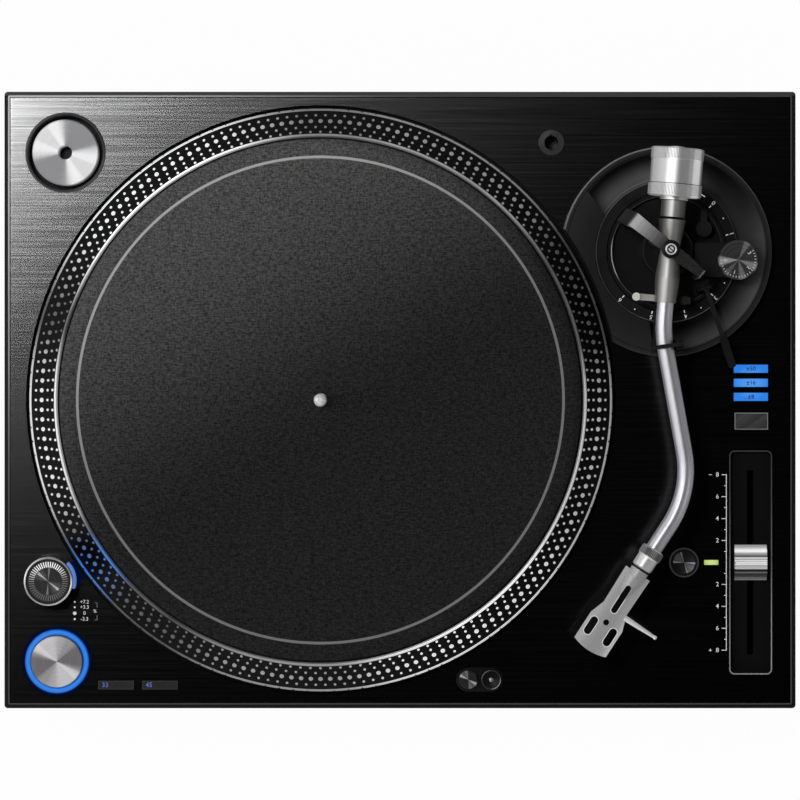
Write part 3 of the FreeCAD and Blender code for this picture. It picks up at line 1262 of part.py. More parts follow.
def stretched(line, share):
    """The point at a share of a line's length, also beyond its ends."""
    start, end = line
    return (start[0] + (end[0] - start[0]) * share, start[1] + (end[1] - start[1]) * share)


def height_ring():
    """The numbered ring that raises and lowers the carrier."""
    top = RING_SEAT + HEIGHT_RING_HEIGHT
    return turned([(HEIGHT_RING_INNER, RING_SEAT), (HEIGHT_RING_OUTER, RING_SEAT),
                   (HEIGHT_RING_OUTER, top - FINE_EDGE), (HEIGHT_RING_OUTER - FINE_EDGE, top),
                   (HEIGHT_RING_INNER, top)], PIVOT)


def arm_carrier():
    """The cup that carries the arm: skirt in the guide, bearing boss, lift cylinder, lever ears."""
    inner = CARRIER_RADIUS - CARRIER_WALL
    skirt_bottom = CARRIER_BASE - CARRIER_SKIRT
    boss_shoulder = CARRIER_DECK + BOSS_HEIGHT
    pin_bore = PIVOT_PIN_RADIUS + RUNNING_GAP
    cup = turned([(0, CARRIER_BASE), (inner, CARRIER_BASE), (inner, skirt_bottom),
                  (CARRIER_RADIUS, skirt_bottom), (CARRIER_RADIUS, CARRIER_TOP),
                  (inner, CARRIER_TOP), (inner, CARRIER_DECK), (BOSS_RADIUS, CARRIER_DECK),
                  (BOSS_RADIUS, boss_shoulder - BOSS_BEVEL), (BOSS_RADIUS - BOSS_BEVEL, boss_shoulder),
                  (BOSS_NECK_RADIUS, boss_shoulder), (BOSS_NECK_RADIUS, BOSS_TOP), (pin_bore, BOSS_TOP),
                  (pin_bore, BOSS_TOP - PIVOT_BORE_DEPTH), (0, BOSS_TOP - PIVOT_BORE_DEPTH)], PIVOT)
    cylinder_top = CARRIER_DECK + LIFT_CYLINDER_HEIGHT
    cylinder = disc(lift_place(), LIFT_CYLINDER_RADIUS, CARRIER_DECK - ROOT, cylinder_top)
    half_pad = BRIDGE_LONG_WIDTH / 2
    pad = block(BRIDGE_LONG_REACH - 2 * BRIDGE_LEG_THICKNESS, BRIDGE_LONG_REACH, -half_pad, half_pad,
                CARRIER_DECK - ROOT, CARRIER_TOP)
    post_top = CARRIER_DECK + LOCK_POST_HEIGHT
    post = disc(from_pivot(LOCK_CENTRE), LOCK_POST_RADIUS, CARRIER_DECK - ROOT, post_top)
    body = fused([cup, cylinder, at_pivot(pad, BRIDGE_HEADING), post] + lever_ears())
    bore = disc(lift_place(), LIFT_PISTON_RADIUS + RUNNING_GAP, CARRIER_DECK, cylinder_top + REACH)
    lock_bore = disc(from_pivot(LOCK_CENTRE), LOCK_PIN_RADIUS + RUNNING_GAP, CARRIER_DECK, post_top + REACH)
    return body.cut([bore, lock_bore, lever_pin(RUNNING_GAP, REACH)])


def lift_place():
    """Plan place of the lift piston."""
    along = heading_vector(ARM_HEADING)
    across = heading_vector(ARM_HEADING + 90)
    return (PIVOT_X + along.x * LIFT_STATION + across.x * LIFT_PISTON_OFFSET,
            PIVOT_Y + along.y * LIFT_STATION + across.y * LIFT_PISTON_OFFSET)


def lever_origin():
    """Plan place of the cue lever's pivot."""
    return vector(PIVOT_X + LEVER_CENTRE[0], PIVOT_Y + LEVER_CENTRE[1], 0)


def lever_level():
    """Height of the cue lever's pivot."""
    return CARRIER_DECK + LEVER_RISE


def lever_span():
    """Distance from the lever's middle to the outside of an ear."""
    return LEVER_HUB_WIDTH / 2 + LEVER_EAR_GAP + LEVER_EAR_THICKNESS


def lever_ears():
    """The two ears on the carrier that hold the cue lever's pin."""
    ears = []
    half = LEVER_EAR_LENGTH / 2
    for side in (-1, 1):
        near = side * (LEVER_HUB_WIDTH / 2 + LEVER_EAR_GAP)
        far = side * lever_span()
        ear = block(-half, half, min(near, far), max(near, far), CARRIER_DECK - ROOT,
                    lever_level() + LEVER_HUB_RADIUS)
        ears.append(turn_and_move(ear, LEVER_HEADING, lever_origin()))
    return ears


def lever_pin(gap, extra):
    """The pin of the cue lever, or the bore for it with a gap."""
    half = lever_span() + extra
    pin = rod(vector(0, -half, lever_level()), vector(0, 1, 0), LEVER_PIN_RADIUS + gap, 2 * half)
    return turn_and_move(pin, LEVER_HEADING, lever_origin())


def bearing_bridge():
    """The arch over the arm that holds the upper pivot: a long leg, a short leg and a cap."""
    outer = BRIDGE_LONG_REACH
    inner = outer - BRIDGE_LEG_THICKNESS
    knee = CARRIER_TOP + BRIDGE_LONG_KNEE
    short = -BRIDGE_SHORT_REACH
    flat_inner = BRIDGE_LONG_FLAT - BRIDGE_THICKNESS
    side = [(outer, CARRIER_TOP), (outer, knee), (BRIDGE_LONG_FLAT, BRIDGE_TOP),
            (short + BRIDGE_BEVEL, BRIDGE_TOP), (short, BRIDGE_TOP - BRIDGE_BEVEL),
            (short, CARRIER_DECK), (short + BRIDGE_LEG_THICKNESS, CARRIER_DECK),
            (short + BRIDGE_LEG_THICKNESS, BRIDGE_UNDERSIDE), (flat_inner, BRIDGE_UNDERSIDE),
            (inner, knee), (inner, CARRIER_TOP)]
    corners = [vector(x, 0, z) for x, z in side]
    arch = Part.Face(Part.makePolygon(corners + corners[:1])).extrude(vector(0, BRIDGE_LONG_WIDTH, 0))
    arch.translate(vector(0, -BRIDGE_LONG_WIDTH / 2, 0))
    mid = BRIDGE_MID_WIDTH / 2
    wide = BRIDGE_LONG_WIDTH / 2
    narrow = BRIDGE_SHORT_WIDTH / 2
    plan = [(short, -narrow), (BRIDGE_SHORT_TAPER, -mid), (BRIDGE_LONG_TAPER, -mid), (outer, -wide),
            (outer, wide), (BRIDGE_LONG_TAPER, mid), (BRIDGE_SHORT_TAPER, mid), (short, narrow)]
    arch = arch.common(plate(plan, CARRIER_DECK, BRIDGE_TOP))
    hub = disc((0, 0), BRIDGE_HUB_RADIUS, BRIDGE_UNDERSIDE, BRIDGE_TOP)
    cap_top = BRIDGE_TOP + BRIDGE_CAP_HEIGHT
    cap = chamfer_level(disc((0, 0), BRIDGE_CAP_RADIUS, BRIDGE_TOP - ROOT, cap_top), cap_top, SOFT_EDGE)
    pin_hole = disc((0, 0), PIVOT_PIN_RADIUS + RUNNING_GAP, BRIDGE_UNDERSIDE - REACH, BRIDGE_TOP)
    return at_pivot(fused([arch, hub, cap]).cut(pin_hole), BRIDGE_HEADING)


def gimbal_ring():
    """The upright ring that swings about the pivot and holds the arm's side trunnions."""
    half = GIMBAL_WIDTH / 2
    axis = vector(1, 0, 0)
    hoop = rod(vector(-half, 0, ARM_AXIS), axis, GIMBAL_OUTER, GIMBAL_WIDTH)
    hoop = hoop.cut(rod(vector(-half, 0, ARM_AXIS), axis, GIMBAL_INNER, GIMBAL_WIDTH))
    middle = (GIMBAL_OUTER + GIMBAL_INNER) / 2
    upper = disc((0, 0), PIVOT_PIN_RADIUS, ARM_AXIS + middle, BRIDGE_TOP - CAP_GAP)
    lower = disc((0, 0), PIVOT_PIN_RADIUS, BOSS_TOP - PIVOT_BORE_DEPTH + CAP_GAP, ARM_AXIS - middle)
    trunnions = []
    inner_end = BARREL_WAIST_RADIUS - TRUNNION_GRIP
    for side in (-1, 1):
        start = vector(0, side * inner_end, ARM_AXIS)
        trunnions.append(rod(start, vector(0, side, 0), TRUNNION_RADIUS, middle - inner_end))
    return at_pivot(fused([hoop, upper, lower] + trunnions), TUBE_HEADING_3)


def arm_barrel():
    """The turned body of the arm: rear shaft, groove, waist at the pivot and front bulge."""
    line = [(REAR_SHAFT_END, 0), (REAR_SHAFT_END, REAR_SHAFT_RADIUS - SOFT_EDGE),
            (REAR_SHAFT_END + SOFT_EDGE, REAR_SHAFT_RADIUS), (REAR_STUB_END, REAR_SHAFT_RADIUS),
            (REAR_STUB_END, REAR_STUB_RADIUS), (GROOVE_END, REAR_STUB_RADIUS),
            (GROOVE_END, GROOVE_RADIUS), (GROOVE_FRONT, GROOVE_RADIUS), (GROOVE_FRONT, BARREL_REAR_RADIUS)]
    edges = []
    points = [vector(station, 0, radius) for station, radius in line]
    for start, end in zip(points, points[1:]):
        edges.append(Part.makeLine(start, end))
    waist = vector(0, 0, BARREL_WAIST_RADIUS)
    bulge = vector(BARREL_BULGE, 0, BARREL_BULGE_RADIUS)
    front = vector(BARREL_FRONT, 0, BARREL_FRONT_RADIUS)
    for start, end in ((points[-1], waist), (waist, bulge), (bulge, front)):
        crown = (start + end) / 2 + vector(0, 0, BARREL_CROWN)
        edges.append(Part.Arc(start, crown, end).toShape())
    edges.append(Part.makeLine(front, vector(BARREL_FRONT, 0, 0)))
    edges.append(Part.makeLine(vector(BARREL_FRONT, 0, 0), points[0]))
    solid = Part.Face(Part.Wire(edges)).revolve(vector(0, 0, 0), vector(1, 0, 0), 360)
    solid.translate(vector(0, 0, ARM_AXIS))
    socket = rod(vector(TUBE_START, 0, ARM_AXIS), vector(1, 0, 0), TUBE_RADIUS, BARREL_FRONT)
    cross = rod(vector(0, -2 * BARREL_REAR_RADIUS, ARM_AXIS), vector(0, 1, 0), TRUNNION_RADIUS + RUNNING_GAP,
                4 * BARREL_REAR_RADIUS)
    cross.rotate(vector(0, 0, 0), vector(0, 0, 1), TUBE_HEADING_3 - ARM_HEADING)
    return at_pivot(solid.cut([socket, cross]))


def tube_path():
    """Corners of the tube's centre line: start, first bend, second bend and end."""
    start = vector(PIVOT_X, PIVOT_Y, ARM_AXIS)
    first = start + heading_vector(ARM_HEADING) * TUBE_RUN_1
    second = first + heading_vector(TUBE_HEADING_2) * TUBE_RUN_2
    end = second + heading_vector(TUBE_HEADING_3) * TUBE_RUN_3
    return start + heading_vector(ARM_HEADING) * TUBE_START, first, second, end


def bent_wire(points, radii):
    """Straight runs joined by tangent arcs at the inner points."""
    edges = []
    here = points[0]
    for index, radius in enumerate(radii):
        corner = points[index + 1]
        before = (points[index + 1] - points[index]).normalize()
        after = (points[index + 2] - points[index + 1]).normalize()
        turn = before.getAngle(after)
        reach = radius * math.tan(turn / 2)
        enter = corner - before * reach
        leave = corner + after * reach
        toward = (after - before).normalize()
        bulge = radius / math.cos(turn / 2) - radius
        edges.append(Part.makeLine(here, enter))
        edges.append(Part.Arc(enter, corner + toward * bulge, leave).toShape())
        here = leave
    edges.append(Part.makeLine(here, points[-1]))
    return Part.Wire(edges)


def swept(path, radius):
    """A round section swept along a path."""
    start = path.Edges[0].Vertexes[0].Point
    direction = path.Edges[0].tangentAt(path.Edges[0].FirstParameter)
    circle = Part.Wire([Part.makeCircle(radius, start, direction)])
    return path.makePipeShell([circle], True, False)


def arm_tube():
    """The S-shaped tube, opened out at its front end for the headshell's plug."""
    start, first, second, end = tube_path()
    tip = end + heading_vector(TUBE_HEADING_3) * SOCKET_TAIL
    outer_path = bent_wire([start, first, second, tip], [TUBE_BEND_1, TUBE_BEND_2])
    inner_end = end + heading_vector(TUBE_HEADING_3) * (SOCKET_TAIL - SOCKET_DEPTH)
    inner_path = bent_wire([start, first, second, inner_end], [TUBE_BEND_1, TUBE_BEND_2])
    outer = swept(outer_path, TUBE_RADIUS)
    inner = swept(inner_path, TUBE_RADIUS - TUBE_WALL)
    socket = rod(inner_end, heading_vector(TUBE_HEADING_3), SOCKET_BORE, SOCKET_DEPTH + 1)
    return outer.cut([inner, socket])


def collar_origin():
    """Plan place of the tube's front end."""
    end = tube_path()[-1]
    return vector(end.x, end.y, 0)


def at_collar(shape):
    """A shape built on the headshell's own line, moved to the tube's end."""
    return turn_and_move(shape, TUBE_HEADING_3, collar_origin())


def locking_collar():
    """The knurled nut that pulls the headshell into the tube."""
    bore = TUBE_RADIUS + RUNNING_GAP
    return at_collar(on_axis([(0, bore), (0, COLLAR_KNURL_RADIUS - FINE_EDGE),
                              (FINE_EDGE, COLLAR_KNURL_RADIUS),
                              (COLLAR_KNURL_LENGTH, COLLAR_KNURL_RADIUS),
                              (COLLAR_KNURL_LENGTH + FINE_EDGE, COLLAR_RADIUS),
                              (COLLAR_LENGTH - FINE_EDGE, COLLAR_RADIUS),
                              (COLLAR_LENGTH, COLLAR_RADIUS - FINE_EDGE), (COLLAR_LENGTH, bore)]))


def shell_outline():
    """Plan of the headshell's plate, with a curved front edge."""
    rear = SHELL_REAR_WIDTH / 2
    waist = SHELL_WAIST_WIDTH / 2
    wide = SHELL_WIDTH / 2
    points = [vector(SHELL_START, -rear), vector(SHELL_WAIST_START, -waist), vector(SHELL_FLARE, -wide),
              vector(SHELL_FRONT, -wide)]
    edges = [Part.makeLine(start, end) for start, end in zip(points, points[1:])]
    tip = vector(SHELL_FRONT + SHELL_FRONT_BULGE, 0)
    edges.append(Part.Arc(points[-1], tip, vector(SHELL_FRONT, wide)).toShape())
    mirrored = [vector(point.x, -point.y) for point in reversed(points)]
    edges += [Part.makeLine(start, end) for start, end in zip(mirrored, mirrored[1:])]
    edges.append(Part.makeLine(mirrored[-1], points[0]))
    return Part.Wire(edges)


def slot_tool(span, offset, z_from, z_to):
    """A round-ended slot along the headshell."""
    start, end, width = span
    return stadium(((start + end) / 2, offset), end - start, width, z_from, z_to)


def shell_sheet():
    """The headshell's flat plate before its slots are cut."""
    return shell_prism(ARM_AXIS - SHELL_THICKNESS / 2, SHELL_THICKNESS)


def shell_prism(low, height):
    """The headshell's outline raised to a height."""
    prism = Part.Face(shell_outline()).extrude(vector(0, 0, height))
    return prism.translated(vector(0, 0, low))


def headshell():
    """Plug, neck and slotted plate, with a cone that runs from the neck into the plate."""
    plate_top = ARM_AXIS + SHELL_THICKNESS / 2
    plate_low = plate_top - SHELL_THICKNESS
    flange_low = plate_low - SHELL_FLANGE_DEPTH
    zone = block(SHELL_START, SHELL_WAIST_START, -SHELL_WIDTH, SHELL_WIDTH, flange_low, plate_low)
    half_hollow = SHELL_WAIST_WIDTH / 2 - SHELL_FLANGE_WALL
    hollow = block(SHELL_START + SHELL_BACK_LENGTH, SHELL_WAIST_START + REACH, -half_hollow, half_hollow,
                   flange_low - REACH, plate_low)
    skirt = shell_prism(flange_low, SHELL_FLANGE_DEPTH).common(zone).cut(hollow)
    plug = shell_rod(PLUG_START, NECK_START, PLUG_RADIUS)
    neck = shell_rod(NECK_START, SHELL_START + SHELL_BACK_LENGTH, NECK_RADIUS)
    crest = ARM_AXIS + NECK_RADIUS
    ramp_start = SHELL_START + SHELL_BACK_LENGTH
    ramp = Part.makeCone(NECK_RADIUS, SHELL_THICKNESS / 2, SHELL_RAMP_END - ramp_start,
                         vector(ramp_start, 0, ARM_AXIS), vector(1, 0, 0))
    body = fused([shell_sheet(), skirt, plug, neck, ramp])
    low = flange_low - REACH
    high = crest + REACH
    tools = [slot_tool(SHELL_SLOT, 0, low, high), disc((SHELL_HOLE_X, 0), SHELL_HOLE_RADIUS, low, high)]
    tools += [slot_tool(CARTRIDGE_SLOT, side * CARTRIDGE_SLOT_OFFSET, low, high) for side in (-1, 1)]
    return at_collar(body.cut(tools))


def shell_rod(x_from, x_to, radius):
    """A round bar on the headshell's axis."""
    return rod(vector(x_from, 0, ARM_AXIS), vector(1, 0, 0), radius, x_to - x_from)


def finger_lift():
    """The tapered rod with a ball tip at the headshell's outer side."""
    start = vector(LIFT_X, SHELL_WAIST_WIDTH / 2, ARM_AXIS)
    taper = Part.makeCone(LIFT_ROOT_RADIUS, LIFT_TIP_RADIUS, LIFT_LENGTH, start, vector(0, 1, 0))
    ball = Part.makeSphere(LIFT_BALL_RADIUS, start + vector(0, LIFT_LENGTH, 0))
    return at_collar(fused([taper, ball]).cut(shell_sheet()))


def weight_bush():
    """The sleeve on the rear shaft that the counterweight turns on."""
    return at_pivot(on_axis([(BUSH_REAR, REAR_SHAFT_RADIUS + RUNNING_GAP), (BUSH_REAR, BUSH_RADIUS),
                             (BUSH_FRONT, BUSH_RADIUS), (BUSH_FRONT, REAR_SHAFT_RADIUS + RUNNING_GAP)]))


def counterweight():
    """The weight: knurled grip, smooth body, and the hub that carries the dial."""
    bore = BUSH_RADIUS + RUNNING_GAP
    return at_pivot(on_axis([(WEIGHT_REAR, bore), (WEIGHT_REAR, WEIGHT_KNURL_RADIUS - FINE_EDGE),
                             (WEIGHT_REAR + FINE_EDGE, WEIGHT_KNURL_RADIUS),
                             (WEIGHT_KNURL_END, WEIGHT_KNURL_RADIUS),
                             (WEIGHT_KNURL_END + SOFT_EDGE, WEIGHT_RADIUS), (WEIGHT_FRONT, WEIGHT_RADIUS),
                             (WEIGHT_FRONT, WEIGHT_HUB_RADIUS), (DIAL_FRONT, WEIGHT_HUB_RADIUS),
                             (DIAL_FRONT, bore)]))


def weight_dial():
    """The numbered ring on the counterweight's hub."""
    rear = WEIGHT_FRONT + DIAL_AXIAL_GAP
    bore = WEIGHT_HUB_RADIUS + RUNNING_GAP
    return at_pivot(on_axis([(rear, bore), (rear, DIAL_RADIUS), (DIAL_FRONT - FINE_EDGE, DIAL_RADIUS),
                             (DIAL_FRONT, DIAL_RADIUS - FINE_EDGE), (DIAL_FRONT, bore)]))


def rest_frame():
    """Place and heading of the tube's centre where it lies in the arm rest."""
    reach = TUBE_BEND_1 * math.tan(math.radians(TUBE_HEADING_2 - ARM_HEADING) / 2)
    past = max(0.0, REST_DISTANCE - (TUBE_RUN_1 - reach))
    turn = math.degrees(past / TUBE_BEND_1)
    offset = TUBE_BEND_1 * (1 - math.cos(math.radians(turn)))
    along = heading_vector(ARM_HEADING) * REST_DISTANCE
    across = heading_vector(ARM_HEADING + 90) * offset
    return vector(PIVOT_X, PIVOT_Y, 0) + along + across, ARM_HEADING + turn


def at_rest_place(shape):
    """A shape built on the tube's own line, moved to the arm rest."""
    place, heading = rest_frame()
    return turn_and_move(shape, heading, place)


def arm_rest():
    """Bracket, post and cradle that the tube lies in, with the fork for the clamp."""
    seat_top = ARM_AXIS - TUBE_RADIUS - REST_SEAT_GAP
    seat_low = seat_top - REST_SEAT_THICKNESS
    half = REST_LENGTH / 2
    right = REST_RIGHT + REST_RIGHT_THICKNESS
    cradle = block(-half, half, -REST_LEFT, right, seat_low, seat_top)
    groove = block(-half - REACH, half + REACH, -REST_LEFT + REST_LEFT_THICKNESS, REST_RIGHT,
                   seat_top - REST_GROOVE, seat_top + REACH)
    cradle = cradle.cut(groove)
    pivot_level = ARM_AXIS + CLAMP_PIVOT_RISE
    prong = block(-half, half, REST_RIGHT, right, seat_low, pivot_level + CLAMP_EYE_RADIUS)
    slot_half = CLAMP_WIDTH / 2 + CLAMP_SLOT_GAP
    slot = block(-slot_half, slot_half, REST_RIGHT - REACH, right + REACH,
                 pivot_level - CLAMP_EYE_RADIUS - 2 * CAP_GAP, pivot_level + CLAMP_EYE_RADIUS + REACH)
    pin_hole = rod(vector(-half - REACH, CLAMP_PIVOT_OFFSET, pivot_level), vector(1, 0, 0),
                   CLAMP_PIN_RADIUS + RUNNING_GAP, REST_LENGTH + 2 * REACH)
    bracket_low = DECK_TOP + BRACKET_LIFT
    bracket_top = bracket_low + BRACKET_THICKNESS
    half_post = REST_POST_WIDTH / 2
    post = block(-half, half, -half_post, half_post, bracket_low, seat_low + ROOT)
    top = at_rest_place(fused([cradle, prong, post]).cut([slot, pin_hole]))
    half_bracket = BRACKET_WIDTH / 2
    bracket = block(BRACKET_START, REST_DISTANCE, -half_bracket, half_bracket, bracket_low, bracket_top)
    heel = block(BRACKET_START, BRACKET_START + BRACKET_FOOT, -half_bracket, half_bracket,
                 CARRIER_DECK, bracket_top)
    return fused([top, at_pivot(bracket), at_pivot(heel)])


def arm_clamp():
    """The hinged latch over the tube, with its pin."""
    pivot_level = ARM_AXIS + CLAMP_PIVOT_RISE
    half = CLAMP_WIDTH / 2
    band_low = ARM_AXIS + TUBE_RADIUS + CLAMP_TUBE_GAP
    band_top = band_low + CLAMP_THICKNESS
    eye = rod(vector(-half, CLAMP_PIVOT_OFFSET, pivot_level), vector(1, 0, 0), CLAMP_EYE_RADIUS, CLAMP_WIDTH)
    arm_half = CLAMP_ARM_WIDTH / 2
    outside = CLAMP_PIVOT_OFFSET + arm_half
    upright = block(-half, half, CLAMP_PIVOT_OFFSET - arm_half, outside, pivot_level, band_top)
    band = block(-half, half, -REST_LEFT, outside, band_low, band_top)
    pin = rod(vector(-REST_LENGTH / 2, CLAMP_PIVOT_OFFSET, pivot_level), vector(1, 0, 0),
              CLAMP_PIN_RADIUS, REST_LENGTH)
    return at_rest_place(fused([eye, upright, band, pin]))


def lift_bar():
    """Piston, bar and stop of the arm lift, at its low position."""
    bar_top = ARM_AXIS - LIFT_BAR_DROP
    bar_low = bar_top - LIFT_BAR_THICKNESS
    half = LIFT_BAR_WIDTH / 2
    bar = block(LIFT_STATION - half, LIFT_STATION + half, -LIFT_BAR_LEFT, LIFT_BAR_RIGHT, bar_low, bar_top)
    piston = disc((LIFT_STATION, LIFT_PISTON_OFFSET), LIFT_PISTON_RADIUS,
                  bar_low - LIFT_PISTON_LENGTH, bar_low + ROOT)
    stop = disc((LIFT_STATION, -LIFT_BAR_LEFT), LIFT_STOP_RADIUS,
                bar_low - LIFT_STOP_PROUD, bar_top + LIFT_STOP_PROUD)
    return at_pivot(fused([bar, piston, stop]))


def cue_lever():
    """The hand lever of the arm lift: hub with its pin, thin arm and flat handle."""
    level = lever_level()
    hub = rod(vector(0, -LEVER_HUB_WIDTH / 2, level), vector(0, 1, 0), LEVER_HUB_RADIUS, LEVER_HUB_WIDTH)
    low = level - LEVER_ARM_THICKNESS / 2
    high = level + LEVER_ARM_THICKNESS / 2
    side = [vector(0, 0, low), vector(LEVER_ARM_LENGTH, 0, low + LEVER_CLIMB),
            vector(LEVER_ARM_LENGTH, 0, high + LEVER_CLIMB), vector(0, 0, high)]
    arm = Part.Face(Part.makePolygon(side + side[:1])).extrude(vector(0, LEVER_ARM_WIDTH, 0))
    arm.translate(vector(0, -LEVER_ARM_WIDTH / 2, 0))
    handle_low = level + LEVER_CLIMB - LEVER_HANDLE_THICKNESS / 2
    half_handle = LEVER_HANDLE_WIDTH / 2
    handle = block(LEVER_ARM_LENGTH - REACH, LEVER_ARM_LENGTH + LEVER_HANDLE_LENGTH, -half_handle,
                   half_handle, handle_low, handle_low + LEVER_HANDLE_THICKNESS)
    handle = fillet_upright(handle, LEVER_HANDLE_CORNER)
    body = turn_and_move(fused([hub, arm, handle]), LEVER_HEADING, lever_origin())
    return fused([body, lever_pin(0.0, 0.0)])


def antiskate_box():
    """The raised box that carries the anti-skate dial out over the height ring."""
    low = CARRIER_BASE + SKATE_LIFT
    top = low + SKATE_THICKNESS
    cover = plate([from_pivot(point) for point in SKATE_PLATE], low, top)
    leg = plate([from_pivot(point) for point in SKATE_FOOT], CARRIER_DECK, low + ROOT)
    centre = from_pivot(SKATE_DIAL_CENTRE)
    seat = disc(centre, SKATE_SEAT_RADIUS, low, top + SKATE_SEAT_RISE)
    seat_top = top + SKATE_SEAT_RISE
    pin = disc(centre, SKATE_PIN_RADIUS, seat_top - ROOT, seat_top + SKATE_PIN_LENGTH)
    return fused([cover, leg, seat, pin])


def antiskate_dial():
    """The anti-skate dial, a cap over the box's pin."""
    low = CARRIER_BASE + SKATE_LIFT + SKATE_THICKNESS + SKATE_SEAT_RISE + CAP_GAP
    top = low + SKATE_DIAL_HEIGHT
    bore = SKATE_PIN_RADIUS + RUNNING_GAP
    bore_top = low + SKATE_PIN_LENGTH
    return turned([(bore, low), (SKATE_DIAL_RADIUS, low), (SKATE_DIAL_RADIUS, top - FINE_EDGE),
                   (SKATE_DIAL_RADIUS - FINE_EDGE, top), (0, top), (0, bore_top), (bore, bore_top)],
                  from_pivot(SKATE_DIAL_CENTRE))


def height_lock():
    """The small lever that locks the carrier at its height."""
    centre = from_pivot(LOCK_CENTRE)
    low = CARRIER_DECK + LOCK_POST_HEIGHT + CAP_GAP
    top = low + LOCK_THICKNESS
    knob = disc(centre, LOCK_RADIUS, low, top)
    half = LOCK_HANDLE_WIDTH / 2
    handle = block(centre[0] - half, centre[0] + half, centre[1], centre[1] + LOCK_HANDLE_LENGTH,
                   low, top - FINE_EDGE)
    pin = disc(centre, LOCK_PIN_RADIUS, CARRIER_DECK + CAP_GAP, low + ROOT)
    return fused([knob, handle, pin])


def nodes():
    """Every sub-part by its node name."""
    built = {
        "base_shell": base_shell(),
        "chassis": chassis(),
        "top_panel": top_panel(),
        "case_screws": case_screws(),
        "phono_jacks": phono_jacks(),
        "ground_post": ground_post(),
        "mains_inlet": mains_inlet(),
        "power_transformer": power_transformer(),
        "control_board": control_board(),
        "button_switches": button_switches(),
        "spindle_bearing": spindle_bearing(),
        "motor_stator": motor_stator(),
        "platter": platter(),
        "spindle": spindle(),
        "rotor_magnet": rotor_magnet(),
        "slipmat": slipmat(),
        "adapter_well": adapter_well(),
        "single_adapter": single_adapter(),
        "headshell_stand": headshell_stand(),
        "strobe_housing": strobe_housing(),
        "strobe_lens": strobe_lens(),
        "power_knob": power_knob(),
        "start_ring": start_ring(),
        "start_button": start_button(),
        "speed_button_33": bar_button(SPEED_CENTRES[0], SPEED_SIZE, SPEED_CAP_HEIGHT),
        "speed_button_45": bar_button(SPEED_CENTRES[1], SPEED_SIZE, SPEED_CAP_HEIGHT),
        "reset_button": round_button(RESET_CENTRE, RESET_RADIUS, RESET_CAP_HEIGHT, RESET_DISH_RADIUS),
        "range_button": bar_button(RANGE_CENTRE, RANGE_SIZE, RANGE_CAP_HEIGHT),
        "lamp_button": round_button(LIGHT_BUTTON_CENTRE, LIGHT_BUTTON_RADIUS, LIGHT_BUTTON_CAP_HEIGHT,
                                    LIGHT_BUTTON_DISH_RADIUS),
        "lamp_bezel": lamp_bezel(),
        "target_light": target_light(),
        "fader_panel": fader_panel(),
        "fader_track": fader_track(),
        "tempo_knob": tempo_knob(),
        "centre_led": centre_led(),
        "range_windows": range_windows(),
        "tonearm_base": tonearm_base(),
        "height_ring": height_ring(),
        "arm_carrier": arm_carrier(),
        "bearing_bridge": bearing_bridge(),
        "gimbal_ring": gimbal_ring(),
        "arm_barrel": arm_barrel(),
        "arm_tube": arm_tube(),
        "weight_bush": weight_bush(),
        "counterweight": counterweight(),
        "weight_dial": weight_dial(),
        "locking_collar": locking_collar(),
        "headshell": headshell(),
        "finger_lift": finger_lift(),
        "arm_rest": arm_rest(),
        "arm_clamp": arm_clamp(),
        "lift_bar": lift_bar(),
        "cue_lever": cue_lever(),
        "antiskate_box": antiskate_box(),
        "antiskate_dial": antiskate_dial(),
        "height_lock": height_lock(),
    }
    for corner, place in foot_places().items():
        built["foot_" + corner] = foot(place)
    return built


def main():
    """Builds every piece and writes it to its file."""
    os.makedirs("parts", exist_ok=True)
    for name, shape in nodes().items():
        shape.exportStep(os.path.join("parts", name + ".step"))


main()
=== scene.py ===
"""The looks of the DJ turntable: finishes for the solid parts, fine pieces, studio and camera."""

import logging
import math
from collections.abc import Sequence
from dataclasses import dataclass
from enum import Enum
from functools import cache, partialmethod

import bmesh
import bpy
from mathutils import Matrix, Vector


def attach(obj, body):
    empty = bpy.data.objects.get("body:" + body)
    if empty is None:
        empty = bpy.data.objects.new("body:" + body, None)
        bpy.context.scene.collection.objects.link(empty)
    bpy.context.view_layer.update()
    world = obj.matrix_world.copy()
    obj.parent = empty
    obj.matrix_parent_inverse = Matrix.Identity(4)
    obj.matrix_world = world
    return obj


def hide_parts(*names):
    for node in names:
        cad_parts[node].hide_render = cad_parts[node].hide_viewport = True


log = logging.getLogger("turntable")
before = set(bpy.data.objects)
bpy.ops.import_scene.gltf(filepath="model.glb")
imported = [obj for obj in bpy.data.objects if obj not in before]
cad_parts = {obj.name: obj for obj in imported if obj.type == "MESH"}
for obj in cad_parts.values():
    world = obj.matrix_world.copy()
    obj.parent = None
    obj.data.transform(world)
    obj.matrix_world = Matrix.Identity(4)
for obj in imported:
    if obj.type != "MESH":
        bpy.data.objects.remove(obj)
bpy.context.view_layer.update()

Point = tuple[float, float]
Points = tuple[Point, ...]
Spot = tuple[float, float, float]
Colour = tuple[float, float, float]
Lobes = tuple[tuple[float, float, float], ...]
Seat = tuple[str, str]
Sockets = dict[str, object]
BMesh = bmesh.types.BMesh

MM = 0.001
# Corners closer than this, in millimetres, are one.
MERGE = 0.0005
# A font's size over the height of its capitals.
CAPITALS = 1.38
DECK_TOP = 98.0
INK_DEPTH = 0.08
CAMERA_HEIGHT = 3300.0
ORIGIN = (0.0, 0.0, 0.0)
SPINDLE = (-45.3, 0.0)
PIVOT = (152.4, 84.8)
ARM_AXIS = 142.0
ARM_HEADING = -94.7
SHELL_HEADING = -123.0
COLLAR_START = (143.4, -84.07)
BLACK = (0.0, 0.0, 0.0)
WHITE = (1.0, 1.0, 1.0)


def grey(level: float) -> Colour:
    """An even grey."""
    return (level, level, level)


def times(colour: Colour, share: float) -> Colour:
    """A colour made darker or lighter."""
    return tuple(part * share for part in colour)


